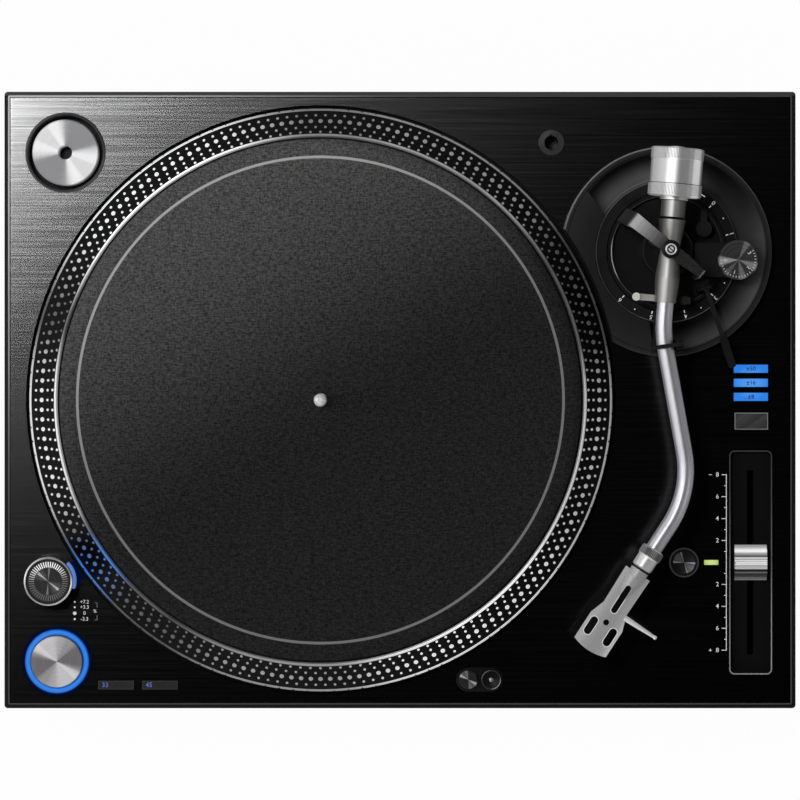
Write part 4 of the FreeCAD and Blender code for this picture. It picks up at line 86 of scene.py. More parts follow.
class Grain(Enum):
    """Which way the fine lines of a worked metal run."""

    ACROSS = "lines along X"
    ROUND = "circles about a centre"
    ALONG_ARM = "circles about the arm"


class Wire:
    """An output of a node, on which sums are written as Python expressions."""

    def __init__(self, sheet: "Sheet", socket: bpy.types.NodeSocket) -> None:
        """Holds a socket and the sheet its node is on."""
        self.sheet = sheet
        self.socket = socket

    def maths(self, operation: str, *others: object) -> "Wire":
        """A Math node on this wire and on others."""
        return self.sheet.node("ShaderNodeMath", {"operation": operation}, (self, *others))

    __add__ = __radd__ = partialmethod(maths, "ADD")
    __sub__ = partialmethod(maths, "SUBTRACT")
    __mul__ = partialmethod(maths, "MULTIPLY")
    __truediv__ = partialmethod(maths, "DIVIDE")
    __lt__ = partialmethod(maths, "LESS_THAN")
    __gt__ = partialmethod(maths, "GREATER_THAN")
    sine = partialmethod(maths, "SINE")
    size = partialmethod(maths, "ABSOLUTE")
    least = partialmethod(maths, "MINIMUM")

    def __rsub__(self, other: object) -> "Wire":
        """Another value less this one."""
        return self.sheet.node("ShaderNodeMath", {"operation": "SUBTRACT"}, (other, self))

    def held(self) -> "Wire":
        """Kept between nought and one."""
        return self.sheet.node("ShaderNodeClamp", inputs=(self, 0.0, 1.0))

    def eased(self, low: float, high: float) -> "Wire":
        """A soft step from nought at one value to one at another."""
        ends = {"Value": self, "From Min": low, "From Max": high}
        return self.sheet.node("ShaderNodeMapRange", {"interpolation_type": "SMOOTHSTEP"}, ends)

    def past(self, low: float, high: float) -> "Wire":
        """A soft step of a length, its ends in millimetres."""
        return self.eased(low * MM, high * MM)

    def band(self, low: float, high: float, soft: float) -> "Wire":
        """One between two lengths in millimetres, nought outside them, with soft ends."""
        return self.past(low - soft, low + soft) * (1.0 - self.past(high - soft, high + soft))


class Sheet:
    """The node tree of one material or of the world."""

    def __init__(self, tree: bpy.types.NodeTree) -> None:
        """Clears the tree."""
        self.tree = tree
        self.tree.nodes.clear()

    def node(self, kind: str, settings: dict | None = None, inputs: object = (),
             out: int | str = 0) -> Wire:
        """Adds any node.

        Args:
            kind: The node's type.
            settings: Its settings, set before its inputs.
            inputs: Values or wires, by place or by name.
            out: Which output is handed back.

        Returns:
            The chosen output.
        """
        made = self.tree.nodes.new(kind)
        for name, value in (settings or {}).items():
            setattr(made, name, value)
        pairs = inputs.items() if isinstance(inputs, dict) else enumerate(inputs)
        for key, value in pairs:
            if isinstance(value, Wire):
                self.tree.links.new(value.socket, made.inputs[key])
            elif isinstance(value, tuple) and made.inputs[key].type == "RGBA":
                made.inputs[key].default_value = (*value, 1.0)
            else:
                made.inputs[key].default_value = value
        return Wire(self, made.outputs[out] if len(made.outputs) else None)

    def vector(self, operation: str, *inputs: object, out: int | str = 0) -> Wire:
        """A Vector Math node with these values as its inputs."""
        return self.node("ShaderNodeVectorMath", {"operation": operation}, inputs, out)

    def place(self, centre: Sequence[float] = ORIGIN, turn: float = 0.0) -> Wire:
        """Object coordinates in metres.

        Args:
            centre: The point in millimetres that becomes nought.
            turn: A turn about Z in degrees, undone by the pattern.

        Returns:
            The coordinates.
        """
        spot = self.node("ShaderNodeTexCoord", out="Object")
        shift = tuple(-part * MM for part in (*centre, 0.0)[:3])
        spot = self.node("ShaderNodeMapping", None, {"Vector": spot, "Location": shift})
        turned = (0, 0, math.radians(-turn))
        return self.node("ShaderNodeMapping", None, {"Vector": spot, "Rotation": turned})

    def parts(self, vector: Wire) -> tuple[Wire, Wire, Wire]:
        """A vector's three numbers."""
        first = self.node("ShaderNodeSeparateXYZ", inputs=(vector,))
        return tuple(Wire(self, socket) for socket in first.socket.node.outputs)

    def joined(self, x: object, y: object, z: object = 0.0) -> Wire:
        """A vector from three numbers."""
        return self.node("ShaderNodeCombineXYZ", inputs=(x, y, z))

    def length(self, x: object, y: object, z: object = 0.0) -> Wire:
        """The length of a vector given by its numbers."""
        return self.vector("LENGTH", self.joined(x, y, z), out="Value")

    def outward(self, x: Wire, y: Wire) -> Wire:
        """The level direction away from nought."""
        return self.vector("NORMALIZE", self.joined(x, y))

    def polar(self, centre: Sequence[float]) -> tuple[Wire, Wire, Wire, Wire]:
        """Coordinates from a point, and the distance from the upright line through it."""
        x, y, z = self.parts(self.place(centre))
        return x, y, z, self.length(x, y)

    def wedges(self, x: Wire, y: Wire, lobes: Lobes, fold: float = 1.0) -> Wire:
        """Painted wedge-shaped highlights about nought, as light on fine turned circles would show
        them.

        Args:
            x: The first coordinate.
            y: The second coordinate.
            lobes: Each wedge's heading in degrees, where it starts on its cosine, and its share.
            fold: How often each wedge comes in a full turn.

        Returns:
            Their sum.
        """
        angle = self.node("ShaderNodeMath", {"operation": "ARCTAN2"}, (y, x))
        total = 0.0
        for heading, start, share in lobes:
            cosine = (angle * fold + math.radians(90.0 - fold * heading)).sine()
            total = cosine.eased(start, 1.0) * share + total
        return total

    def noise(self, vector: Wire, scale: float, detail: float = 2.0, rough: float = 0.5) -> Wire:
        """Soft noise: so many waves in a metre, so many octaves, the finer ones so strong."""
        inputs = {"Vector": vector, "Scale": scale, "Detail": detail, "Roughness": rough}
        return self.node("ShaderNodeTexNoise", None, inputs)

    def cloud(self, scale: float, detail: float = 2.0, rough: float = 0.5,
              centre: Sequence[float] = ORIGIN) -> Wire:
        """Noise that is even in all directions."""
        return self.noise(self.place(centre), scale, detail, rough)

    def circles(self, radius: Wire, z: Wire, lines: float, detail: float, rough: float) -> Wire:
        """Noise that runs round in circles, with so many lines in a metre."""
        return self.noise(self.joined(radius * lines, z * lines), 1.0, detail, rough)

    def mix(self, factor: object, first: object, second: object) -> Wire:
        """A colour between two: the first where the factor is nought, the second at one."""
        inputs = {0: factor, 6: first, 7: second}
        return self.node("ShaderNodeMix", {"data_type": "RGBA"}, inputs, 2)

    def bump(self, height: Wire, depth: float, strength: float = 0.6) -> Wire:
        """A normal from a height whose one stands for a depth in metres."""
        return self.node("ShaderNodeBump", None, {"Height": height, "Distance": depth,
                                                  "Strength": strength})

    def tilted(self, way: object, amount: Wire) -> Wire:
        """The surface normal, tilted one way, as fine lines of a tool tilt it.

        Args:
            way: The direction across the lines, in the object's own space.
            amount: How far it tilts, as a slope.

        Returns:
            The normal.
        """
        spaces = {"vector_type": "VECTOR", "convert_from": "OBJECT", "convert_to": "WORLD"}
        turned = self.node("ShaderNodeVectorTransform", spaces, (way,))
        push = self.node("ShaderNodeVectorMath", {"operation": "SCALE"},
                         {0: turned, "Scale": amount})
        plain = self.node("ShaderNodeNewGeometry", out="Normal")
        return self.vector("NORMALIZE", self.vector("ADD", plain, push))

    def close(self, shader: Wire, kind: str = "ShaderNodeOutputMaterial") -> None:
        """Joins a shader to the output."""
        self.node(kind, None, (shader,))


@dataclass(frozen=True)
class Finish:
    """What a surface is made of and how it was worked."""

    name: str

    @cache
    def material(self) -> bpy.types.Material:
        """The finish as a material, made once.

        Returns:
            The material.
        """
        made = bpy.data.materials.new(self.name)
        made.use_nodes = True
        sheet = Sheet(made.node_tree)
        sheet.close(sheet.node("ShaderNodeBsdfPrincipled", inputs=self.surface(sheet)))
        return made

    def surface(self, sheet: Sheet) -> Sockets:
        """What goes into the shader's sockets."""
        raise NotImplementedError


@dataclass(frozen=True)
class WorkedMetal(Finish):
    """Bare metal with the fine lines of the tool that cut, spun or brushed it."""

    colour: Colour
    grain: Grain
    centre: Spot = ORIGIN
    turn: float = 0.0
    gloss: float = 0.28
    tilt: float = 0.18
    lines: float = 2600.0
    metallic: float = 1.0
    shade: float = 0.12
    patch: float = 45.0

    def surface(self, sheet: Sheet) -> Sockets:
        """Colour, gloss and tilt that change from line to line.

        Args:
            sheet: The node tree that the finish is built on.

        Returns:
            The values and wires for the shader's sockets.
        """
        x, y, z = sheet.parts(sheet.place(self.centre, self.turn))
        sine, cosine = math.sin(math.radians(self.turn)), math.cos(math.radians(self.turn))
        if self.grain is Grain.ROUND:
            line = sheet.circles(sheet.length(x, y), z, self.lines, 3.0, 0.7)
            way = sheet.outward(x, y)
        elif self.grain is Grain.ACROSS:
            line = sheet.noise(sheet.joined(x * 14.0, y * self.lines, z * 14.0), 1.0, 3.0, 0.7)
            way = (-sine, cosine, 0.0)
        else:
            line = sheet.noise(sheet.joined(x * self.lines, y * 9.0, z * 9.0), 1.0, 3.0, 0.7)
            way = (cosine, sine, 0.0)
        broad = sheet.cloud(self.patch, 3.0, centre=self.centre)
        darker = times(self.colour, 1.0 - self.shade)
        return {
            "Base Color": sheet.mix(line * 0.7 + broad * 0.3, darker, self.colour),
            "Metallic": self.metallic,
            "Roughness": self.gloss + (line - 0.5) * 0.08,
            "Normal": sheet.tilted(way, (line - 0.5) * self.tilt),
        }


@dataclass(frozen=True)
class SpunMetal(Finish):
    """Metal faced on a lathe: fine circles, with the wedge-shaped highlights they catch painted
    into colour and glow.
    """

    dark: Colour
    bright: Colour
    centre: Point
    lobes: Lobes
    fold: float = 1.0
    contrast: float = 0.05
    metallic: float = 0.3
    lit: float = 0.0
    reach: float = 100.0
    gloss: float = 0.38
    tilt: float = 0.16
    lines: float = 2600.0

    def surface(self, sheet: Sheet) -> Sockets:
        """Painted wedge-shaped highlights out to some radius, painted glow, and fine circles in
        colour, gloss and tilt.

        Args:
            sheet: The node tree that the finish is built on.

        Returns:
            The values and wires for the shader's sockets.
        """
        x, y, z, radius = sheet.polar(self.centre)
        line = sheet.circles(radius, z, self.lines, 2.0, 0.6)
        inside = 1.0 - radius.past(self.reach, self.reach + 0.5)
        # Painted highlight: bright lobes and line contrast put into the base colour.
        lit = sheet.wedges(x, y, self.lobes, self.fold) * inside + (line - 0.5) * self.contrast
        tone = sheet.mix(lit.held(), self.dark, self.bright)
        return {
            "Base Color": tone,
            "Metallic": self.metallic,
            "Roughness": self.gloss + (line - 0.5) * 0.12,
            "Normal": sheet.tilted(sheet.outward(x, y), (line - 0.5) * self.tilt),
            # Painted glow: the painted tone is also given off as light.
            "Emission Color": tone,
            "Emission Strength": self.lit,
        }


@dataclass(frozen=True)
class KnurledMetal(Finish):
    """A knurled grip: bright ridges, grooves darkened with painted shade."""

    dark: Colour
    centre: Spot
    turn: float
    ridge: float
    rows: float = 0.9
    bright: Colour = (0.42, 0.42, 0.42)
    tooth: float = 0.3

    def surface(self, sheet: Sheet) -> Sockets:
        """Painted shade at the foot of the grooves and in the rows cut across them.

        Args:
            sheet: The node tree that the finish is built on.

        Returns:
            The values and wires for the shader's sockets.
        """
        x, y, z = sheet.parts(sheet.place(self.centre, self.turn))
        risen = sheet.length(0.0, y, z).past(self.ridge - self.tooth, self.ridge)
        row = (x * (math.tau / (self.rows * MM))).sine() * 0.5 + 0.5
        cloud = sheet.cloud(900.0, centre=self.centre)
        # Painted shade in grooves and rows, lighter on the ridges.
        tone = (risen * 0.75 + row * 0.35 - 0.1 + (cloud - 0.5) * 0.5).held()
        return {"Base Color": sheet.mix(tone, self.dark, self.bright), "Metallic": 0.7,
                "Roughness": cloud * 0.1 + 0.42, "Normal": sheet.bump(row, 0.00006, 0.5)}


@dataclass(frozen=True)
class CastMetal(Finish):
    """A cast or satin surface, even in colour, with a very fine grain."""

    colour: Colour
    lighter: Colour
    gloss: float
    metallic: float = 0.0
    grain: float = 2200.0
    depth: float = 0.00003
    specular: float = 0.15

    def surface(self, sheet: Sheet) -> Sockets:
        """Mottled colour, mottled gloss and a fine bump.

        Args:
            sheet: The node tree that the finish is built on.

        Returns:
            The values and wires for the shader's sockets.
        """
        cloud = sheet.cloud(60.0, 4.0)
        fine = sheet.cloud(self.grain)
        return {
            "Base Color": sheet.mix(cloud * 0.6 + fine * 0.4, self.colour, self.lighter),
            "Metallic": self.metallic,
            "Roughness": (cloud - 0.5) * 0.14 + self.gloss + (fine - 0.5) * 0.06,
            "Specular IOR Level": self.specular,
            "Normal": sheet.bump(fine, self.depth),
        }


@dataclass(frozen=True)
class StepMetal(Finish):
    """Satin metal with painted light and shade that step along one line, as on facets that face the
    lamps different ways.
    """

    steps: Points
    turn: float = 0.0
    soft: float = 0.3
    metallic: float = 0.3
    lit: float = 0.0
    gloss: float = 0.36
    tint: Colour = WHITE
    centre: Point = PIVOT
    speckle: float = 0.1

    def surface(self, sheet: Sheet) -> Sockets:
        """A painted light-and-shade tone for each stretch of the line, with a fine grain, also
        given off as painted glow.

        Args:
            sheet: The node tree that the finish is built on.

        Returns:
            The values and wires for the shader's sockets.
        """
        x, _, _ = sheet.parts(sheet.place(self.centre, self.turn))
        fine = sheet.cloud(1800.0, centre=self.centre)
        # Painted light and shade: the tone steps along the line and also glows.
        tone = (fine - 0.5) * self.speckle + self.steps[0][1]
        for (_, before), (start, after) in zip(self.steps, self.steps[1:]):
            tone = tone + x.past(start - self.soft, start + self.soft) * (after - before)
        colour = sheet.mix(tone.held(), grey(0.002), self.tint)
        return {"Base Color": colour, "Metallic": self.metallic,
                "Roughness": (fine - 0.5) * 0.1 + self.gloss,
                "Normal": sheet.bump(fine, 0.00002, 0.5), "Emission Color": colour,
                "Emission Strength": self.lit}


@dataclass(frozen=True)
class Polished(Finish):
    """Polished metal with faint rubbing marks."""

    colour: Colour
    gloss: float
    metallic: float

    def surface(self, sheet: Sheet) -> Sockets:
        """Near-even metal with soft smears.

        Args:
            sheet: The node tree that the finish is built on.

        Returns:
            The values and wires for the shader's sockets.
        """
        smear = sheet.cloud(90.0, 4.0, 0.6)
        return {
            "Base Color": sheet.mix(smear, times(self.colour, 0.86), self.colour),
            "Metallic": self.metallic,
            "Roughness": smear * 0.1 + self.gloss,
            "Normal": sheet.bump(sheet.cloud(3000.0), 0.000004, 0.5),
        }


@dataclass(frozen=True)
class RimMetal(Finish):
    """The platter's bright rings and dots, with painted highlight lobes, painted glow and a painted
    patch of the strobe's blue light.
    """

    colour: Colour = WHITE
    # Painted light: the strobe lamp's blue, laid on the rim near it.
    tint: Colour = (0.05, 0.27, 0.9)
    gloss: float = 0.3
    metallic: float = 0.3
    lit: float = 0.35
    share: float = 0.75
    light: Point = (-175.0, -96.0)
    reach: Point = (4.0, 27.0)
    broad: Lobes = ((127.0, 0.35, 0.9),)
    narrow: Lobes = ((187.0, 0.92, 0.65), (350.0, 0.92, 0.45), (58.0, 0.9, 0.22),
                     (265.0, 0.88, 0.22), (85.0, 0.95, 0.12))

    def surface(self, sheet: Sheet) -> Sockets:
        """Painted highlights where the lathe's lines would face the lights, with a painted blue
        patch of light by the strobe.

        Args:
            sheet: The node tree that the finish is built on.

        Returns:
            The values and wires for the shader's sockets.
        """
        # Painted light: how strongly the strobe's blue falls on the rim here.
        near = 1.0 - sheet.polar(self.light)[3].past(*self.reach)
        x, y, _ = sheet.parts(sheet.place(SPINDLE))
        # Painted highlights: broad and narrow lobes round the spindle.
        level = sheet.wedges(x, y, self.broad, 2.0) + 0.09 + sheet.wedges(x, y, self.narrow)
        smear = sheet.cloud(60.0, 3.0)
        shaded = sheet.mix((level + (smear - 0.5) * 0.1).held(), BLACK, self.colour)
        tone = sheet.mix(near * self.share, shaded, self.tint)
        # The painted tone is also given off as painted glow.
        return {"Base Color": tone, "Metallic": self.metallic,
                "Roughness": smear * 0.1 + self.gloss,
                "Emission Color": tone, "Emission Strength": self.lit}


@dataclass(frozen=True)
class DeckFace(Finish):
    """The black top panel, brushed from side to side, that mirrors the light at its rear left, its
    reflection darkened by paint away from that corner.
    """

    colour: Colour = (0.185, 0.185, 0.187)
    streak: Colour = (0.31, 0.31, 0.312)
    spill: Colour = (0.0, 0.008, 0.05)
    fade: float = 0.78
    size: Point = (447.0, 347.0)
    groove: Point = (0.5, 0.8)
    bevel: Spot = (0.8, 1.5, 0.2)
    lights: tuple[tuple[Point, float, float], ...] = (((-196.3, -149.6), 18.2, 1.0),
                                                      ((-187.0, -99.0), 5.5, 0.5))

    def surface(self, sheet: Sheet) -> Sockets:
        """Long streaks in colour, gloss and tilt, a painted highlight on the bevel, painted shade
        in the edge groove, painted darkening away from the rear-left lamp and a painted blue glow
        where the lamps' light would fall.

        Args:
            sheet: The node tree that the finish is built on.

        Returns:
            The values and wires for the shader's sockets.
        """
        x, y, _ = sheet.parts(sheet.place())
        long_line = sheet.noise(sheet.joined(x * 9.0, y * 1000.0), 1.0, 1.5, 0.6)
        short_line = sheet.noise(sheet.joined(x * 24.0, y * 1600.0, 3.0), 1.0, 1.0)
        line = long_line * 0.65 + short_line * 0.35
        inward = (self.size[0] / 2 * MM - x.size()).least(self.size[1] / 2 * MM - y.size())
        # Painted shade: the groove along the panel's edge is darkened.
        groove = 1.0 - inward.past(*self.groove)
        # Painted highlight: a lighter band along the bevel.
        tone = line.eased(0.36, 0.64) * (1.0 - groove * 0.9) + inward.band(*self.bevel) * 0.5
        shade = sheet.mix(groove * 0.9, self.colour, grey(0.01))
        # Painted light: colour, and with it the reflection, darkens away from the rear-left lamp.
        far = (x * 0.8 - y * 1.1).eased(-0.34, 0.1)
        # Painted light: a blue glow, with a darker reflection, where the start ring's and the
        # strobe's light would fall on the panel.
        painted_spill = 0.0
        for centre, radius, share in self.lights:
            past = sheet.polar(centre)[3] - radius * MM
            painted_spill = (1.0 - past.past(-0.5, 2.8)) * share + painted_spill
        panel = sheet.mix(tone.held(), shade, self.streak)
        return {
            "Base Color": sheet.mix((far * self.fade + painted_spill * 0.8).held(), panel, grey(0.004)),
            "Metallic": 1.0,
            "Roughness": (line - 0.5) * 0.04 + 0.15,
            "Normal": sheet.tilted((0.0, 1.0, 0.0), (line - 0.5) * 0.014),
            "Emission Color": sheet.mix(painted_spill.held(), BLACK, self.spill),
            "Emission Strength": 1.0,
        }


@dataclass(frozen=True)
class EdgeMetal(Finish):
    """A fine bevel painted with a highlight that is bright next to the light at the rear left and
    dims away from it.
    """

    bright: Colour = grey(0.85)
    dull: Colour = grey(0.075)
    corner: Point = (-226.5, 176.5)
    fades: float = 270.0

    def surface(self, sheet: Sheet) -> Sockets:
        """A painted highlight tone by the distance from the bright corner.

        Args:
            sheet: The node tree that the finish is built on.

        Returns:
            The values and wires for the shader's sockets.
        """
        far = sheet.polar(self.corner)[3].past(0.0, self.fades)
        return {"Base Color": sheet.mix(far, self.bright, self.dull),
                "Roughness": sheet.cloud(900.0) * 0.1 + 0.4, "Specular IOR Level": 0.2}


@dataclass(frozen=True)
class Painted(Finish):
    """Dark paint with a fine grain, in a tone that each kind works out."""

    gloss: float = 0.32
    specular: float = 0.15
    depth: float = 0.00003
    grain: float = 1800.0
    dark: Colour = grey(0.0025)
    pale: Colour = WHITE

    def surface(self, sheet: Sheet) -> Sockets:
        """The tone between dark and pale, with the grain in gloss and bump.

        Args:
            sheet: The node tree that the finish is built on.

        Returns:
            The values and wires for the shader's sockets.
        """
        fine = sheet.cloud(self.grain)
        sockets = {"Base Color": sheet.mix(self.tone(sheet, fine), self.dark, self.pale),
                   "Roughness": fine * 0.08 + self.gloss, "Specular IOR Level": self.specular}
        if self.depth:
            sockets["Normal"] = sheet.bump(fine, self.depth)
        return sockets

    def tone(self, sheet: Sheet, fine: Wire) -> Wire:
        """The tone, nought for dark and one for pale."""
        raise NotImplementedError


@dataclass(frozen=True)
class BaseCasting(Painted):
    """The dished arm base, with painted light on one side of each slope, of the flat and of the
    rim.
    """

    flat_from: float = 104.9
    rear: Lobes = ((118.0, 0.3, 0.15), (50.0, 0.4, 0.035))
    front: Lobes = ((-45.0, 0.15, 0.095), (0.0, 0.5, 0.02))
    rim: Lobes = ((128.0, 0.0, 0.2), (60.0, 0.5, 0.06))
    rear_slope: Point = (41.5, 55.0)
    front_slope: Point = (43.0, 58.0)
    flat_slope: Point = (42.0, 60.0)
    rim_line: Spot = (59.2, 60.2, 0.1)

    def tone(self, sheet: Sheet, fine: Wire) -> Wire:
        """Painted light and shade by heading and distance from the arm's pivot.

        Args:
            sheet: The node tree that the finish is built on.
            fine: The fine grain.

        Returns:
            The tone, nought for dark and one for pale.
        """
        x, y, z, radius = sheet.polar(PIVOT)
        raised = z.past(self.flat_from, self.flat_from + 0.5)
        # Painted highlights on the dish's slopes and the rim's edge, facing the lamps.
        dish = (sheet.wedges(x, y, self.rear) * (1.0 - radius.past(*self.rear_slope))
                + sheet.wedges(x, y, self.front) * radius.past(*self.front_slope))
        flat = radius.past(*self.flat_slope) * 0.012 + 0.01
        edge = (sheet.wedges(x, y, self.rim) + 0.01) * radius.band(*self.rim_line)
        return ((dish * (1.0 - raised) + flat * raised + edge) * (fine * 0.3 + 0.85)).held()


@dataclass(frozen=True)
class WellMetal(Painted):
    """The adapter's cup: black inside, its flange grey with painted highlight lobes and a fine
    bright edge.
    """

    centre: Point = ORIGIN[:2]
    flange: Point = (21.3, 21.7)
    edge: Spot = (22.6, 23.1, 0.1)

    def tone(self, sheet: Sheet, fine: Wire) -> Wire:
        """The tone by the distance from the cup's centre, with painted highlight lobes on the
        flange.

        Args:
            sheet: The node tree that the finish is built on.
            fine: The fine grain.

        Returns:
            The tone, nought for dark and one for pale.
        """
        x, y, _, radius = sheet.polar(self.centre)
        # Painted highlight on the flange.
        lit = sheet.wedges(x, y, ((140.0, -0.3, 0.05),), 2.0) + 0.03
        total = lit * radius.past(*self.flange) + radius.band(*self.edge) * 0.15
        return (total * (fine * 0.3 + 0.85)).held()


@dataclass(frozen=True)
class CaseMetal(Painted):
    """The black casting whose narrow border shows lighter along the rear edge."""

    rear: Spot = (174.3, 178.0, 0.1)
    top: Point = (96.2, 96.6)

    def tone(self, sheet: Sheet, fine: Wire) -> Wire:
        """Near-black paint with a lighter rear border."""
        _, y, z = sheet.parts(sheet.place())
        return y.band(*self.rear) * z.past(*self.top) * 0.85 + fine * 0.06


@dataclass(frozen=True)
class PlatterFace(Finish):
    """The platter: black band for the dots, turned bare metal under the mat and on the side."""

    side: Point = (166.2, 103.2)
    recess: float = 149.4
    metal: Colour = (0.6, 0.6, 0.61)

    def surface(self, sheet: Sheet) -> Sockets:
        """Bands by the distance from the spindle.

        Args:
            sheet: The node tree that the finish is built on.

        Returns:
            The values and wires for the shader's sockets.
        """
        x, y, z, radius = sheet.polar(SPINDLE)
        side = (radius > self.side[0] * MM) * (z < self.side[1] * MM)
        line = sheet.circles(radius, z, 3000.0, 3.0, 0.5)
        bare = sheet.mix(radius < self.recess * MM, grey(0.0025), grey(0.01))
        return {
            "Base Color": sheet.mix(side, bare, self.metal),
            "Metallic": side * 0.8,
            "Roughness": (line - 0.5) * 0.1 + 0.36,
            "Specular IOR Level": 0.12,
            "Normal": sheet.tilted(sheet.outward(x, y), (line - 0.5) * 0.08),
        }


@dataclass(frozen=True)
class MatCloth(Finish):
    """The slipmat's dark felt, woven across and along, with one silver line printed round it, both
    painted lighter towards the rear left.
    """

    dark: Colour = (0.016, 0.016, 0.016)
    light: Colour = (0.098, 0.098, 0.097)
    line: Spot = (137.6, 139.1, 0.15)

    def surface(self, sheet: Sheet) -> Sockets:
        """Crossed threads, tufts, the printed line and a painted light gradient.

        Args:
            sheet: The node tree that the finish is built on.

        Returns:
            The values and wires for the shader's sockets.
        """
        x, y, z, radius = sheet.polar(SPINDLE)
        across = sheet.noise(sheet.joined(x * 330.0, y * 1150.0, z), 1.0, 2.0, 0.8)
        along = sheet.noise(sheet.joined(x * 1150.0, y * 380.0, z + 5.0), 1.0, 2.0, 0.8)
        tuft = sheet.cloud(1300.0, 1.0, 0.7, SPINDLE)
        thread = across * 0.48 + along * 0.38 + tuft * 0.14
        # Painted light: felt and print grow lighter towards the rear left, where the lamp is.
        lean = (y * 0.866 - x * 0.5).eased(-0.02, 0.15)
        low = sheet.mix(lean, times(self.dark, 0.32), times(self.light, 0.38))
        high = sheet.mix(lean, times(self.dark, 2.0), times(self.light, 1.8))
        felt = sheet.mix(thread.eased(0.37, 0.63), low, high)
        printed = radius.band(*self.line)
        silver = sheet.mix(lean, grey(0.26), grey(0.62))
        return {
            "Base Color": sheet.mix(printed * 0.95, felt, silver),
            "Roughness": 0.95 - printed * 0.4,
            "Specular IOR Level": 0.2,
            "Normal": sheet.bump(thread, 0.0004, 0.8),
        }


@dataclass(frozen=True)
class Ink(Finish):
    """Printed paint, slightly uneven."""

    colour: Colour
    lit: float = 0.0

    def surface(self, sheet: Sheet) -> Sockets:
        """Paint with faint speckle, and a glow where one is set.

        Args:
            sheet: The node tree that the finish is built on.

        Returns:
            The values and wires for the shader's sockets.
        """
        speckle = sheet.cloud(2500.0)
        tone = sheet.mix(speckle, times(self.colour, 0.8), self.colour)
        return {"Base Color": tone, "Roughness": speckle * 0.1 + 0.5, "Emission Color": tone,
                "Emission Strength": self.lit}


@dataclass(frozen=True)
class LitPlastic(Finish):
    """Clear plastic with a lamp behind it."""

    colour: Colour
    core: Colour
    centre: Point
    middle: float
    spread: float
    strength: float = 1.0

    def surface(self, sheet: Sheet) -> Sockets:
        """Brightest at the middle of the ring or window, deeper at its edges.

        Args:
            sheet: The node tree that the finish is built on.

        Returns:
            The values and wires for the shader's sockets.
        """
        away = sheet.polar(self.centre)[3] - self.middle * MM
        near = (1.0 - away * away / (self.spread * MM) ** 2).held()
        cloud = sheet.cloud(500.0, centre=self.centre)
        glow = sheet.mix(near * 0.85 + cloud * 0.15, self.colour, self.core)
        body = sheet.mix(cloud, (0.01, 0.015, 0.03), (0.015, 0.02, 0.04))
        return {"Base Color": body, "Roughness": cloud * 0.1 + 0.25, "Emission Color": glow,
                "Emission Strength": self.strength}


FOOT_RUBBER = CastMetal("foot_rubber", grey(0.012), grey(0.03), 0.7, depth=0.00006)
CASTING_GREY = CastMetal("grey_casting", grey(0.01), grey(0.02), 0.34)
DARK_PLASTIC = CastMetal("dark_plastic", grey(0.004), grey(0.009), 0.38)
KEY_PLASTIC = CastMetal("key_plastic", grey(0.012), grey(0.022), 0.35, specular=0.3)
SLOT_BLACK = CastMetal("slot_black", grey(0.001), grey(0.002), 0.7)
BRIGHT_STEEL = Polished("bright_steel", (0.9, 0.9, 0.91), 0.22, 0.35)
DULL_STEEL = Polished("dull_steel", (0.45, 0.45, 0.46), 0.35, 0.8)
# White print with a painted glow so that it reads brighter.
WHITE_INK = Ink("white_ink", grey(0.85), 0.3)

PANEL: Seat = ("deck", "deck_panel")
PLATTER: Seat = ("platter_body", "platter_metal")
KNOB: Seat = ("power_switch", "knob_metal")
LAMP_KEY: Seat = ("lamp_key", "button_dark")
RESET_KEY: Seat = ("reset_key", "button_dark")
FADER: Seat = ("fader", "fader_knob")
BRIDGE: Seat = ("carrier", "bridge_cast")
WEIGHT: Seat = ("weight", "weight_metal")
SHELL: Seat = ("shell", "shell_metal")


def dress(**finishes: Finish) -> None:
    """Gives CAD nodes, named by the arguments, their finishes.

    Args:
        **finishes: A finish for each named node.
    """
    for node, finish in finishes.items():
        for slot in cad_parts[node].material_slots:
            slot.material = finish.material()


def at(x: float, y: float, z: float = 0.0, turn: float = 0.0) -> Matrix:
    """A place and a turn about Z in degrees."""
    return Matrix.Translation((x, y, z)) @ Matrix.Rotation(math.radians(turn), 4, "Z")


def lying(start: Point, heading: float, station: float) -> Matrix:
    """Lays a turned shape's axis along a heading, its foot at a station from the start."""
    lie = Matrix.Rotation(math.radians(90.0), 4, "Y")
    return at(*start, ARM_AXIS, heading) @ at(station, 0) @ lie


def linked(name: str, data: bpy.types.ID) -> bpy.types.Object:
    """A new object in the scene.

    Args:
        name: The object's name.
        data: Its mesh, lamp or camera.

    Returns:
        The object.
    """
    made = bpy.data.objects.new(name, data)
    bpy.context.scene.collection.objects.link(made)
    return made


def meshed(name: str, shape: BMesh) -> bpy.types.Object:
    """Turns a shape in millimetres into an object in metres, and uses it up.

    Args:
        name: The object's name.
        shape: Its shape in millimetres.

    Returns:
        The object.
    """
    bmesh.ops.scale(shape, vec=(MM, MM, MM), verts=shape.verts)
    mesh = bpy.data.meshes.new(name)
    shape.to_mesh(mesh)
    shape.free()
    return linked(name, mesh)


def finished(name: str, shape: BMesh, finish: Finish, seat: Seat, place: Matrix | None = None,
             sharp: float = 35.0) -> bpy.types.Object:
    """Turns a shape in millimetres into a finished piece.

    Args:
        name: The piece's name.
        shape: Its shape, used up here.
        finish: What it is made of.
        seat: The body it moves with, and a slot name that is not used.
        place: Where it is put.
        sharp: Edges steeper than this many degrees stay crisp.

    Returns:
        The piece.
    """
    if place:
        bmesh.ops.transform(shape, matrix=place, verts=shape.verts)
    bmesh.ops.remove_doubles(shape, verts=shape.verts, dist=MERGE)
    piece = meshed(name, shape)
    piece.data.materials.append(finish.material())
    piece.data.shade_smooth()
    piece.data.set_sharp_from_angle(angle=math.radians(sharp))
    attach(piece, seat[0])
    return piece


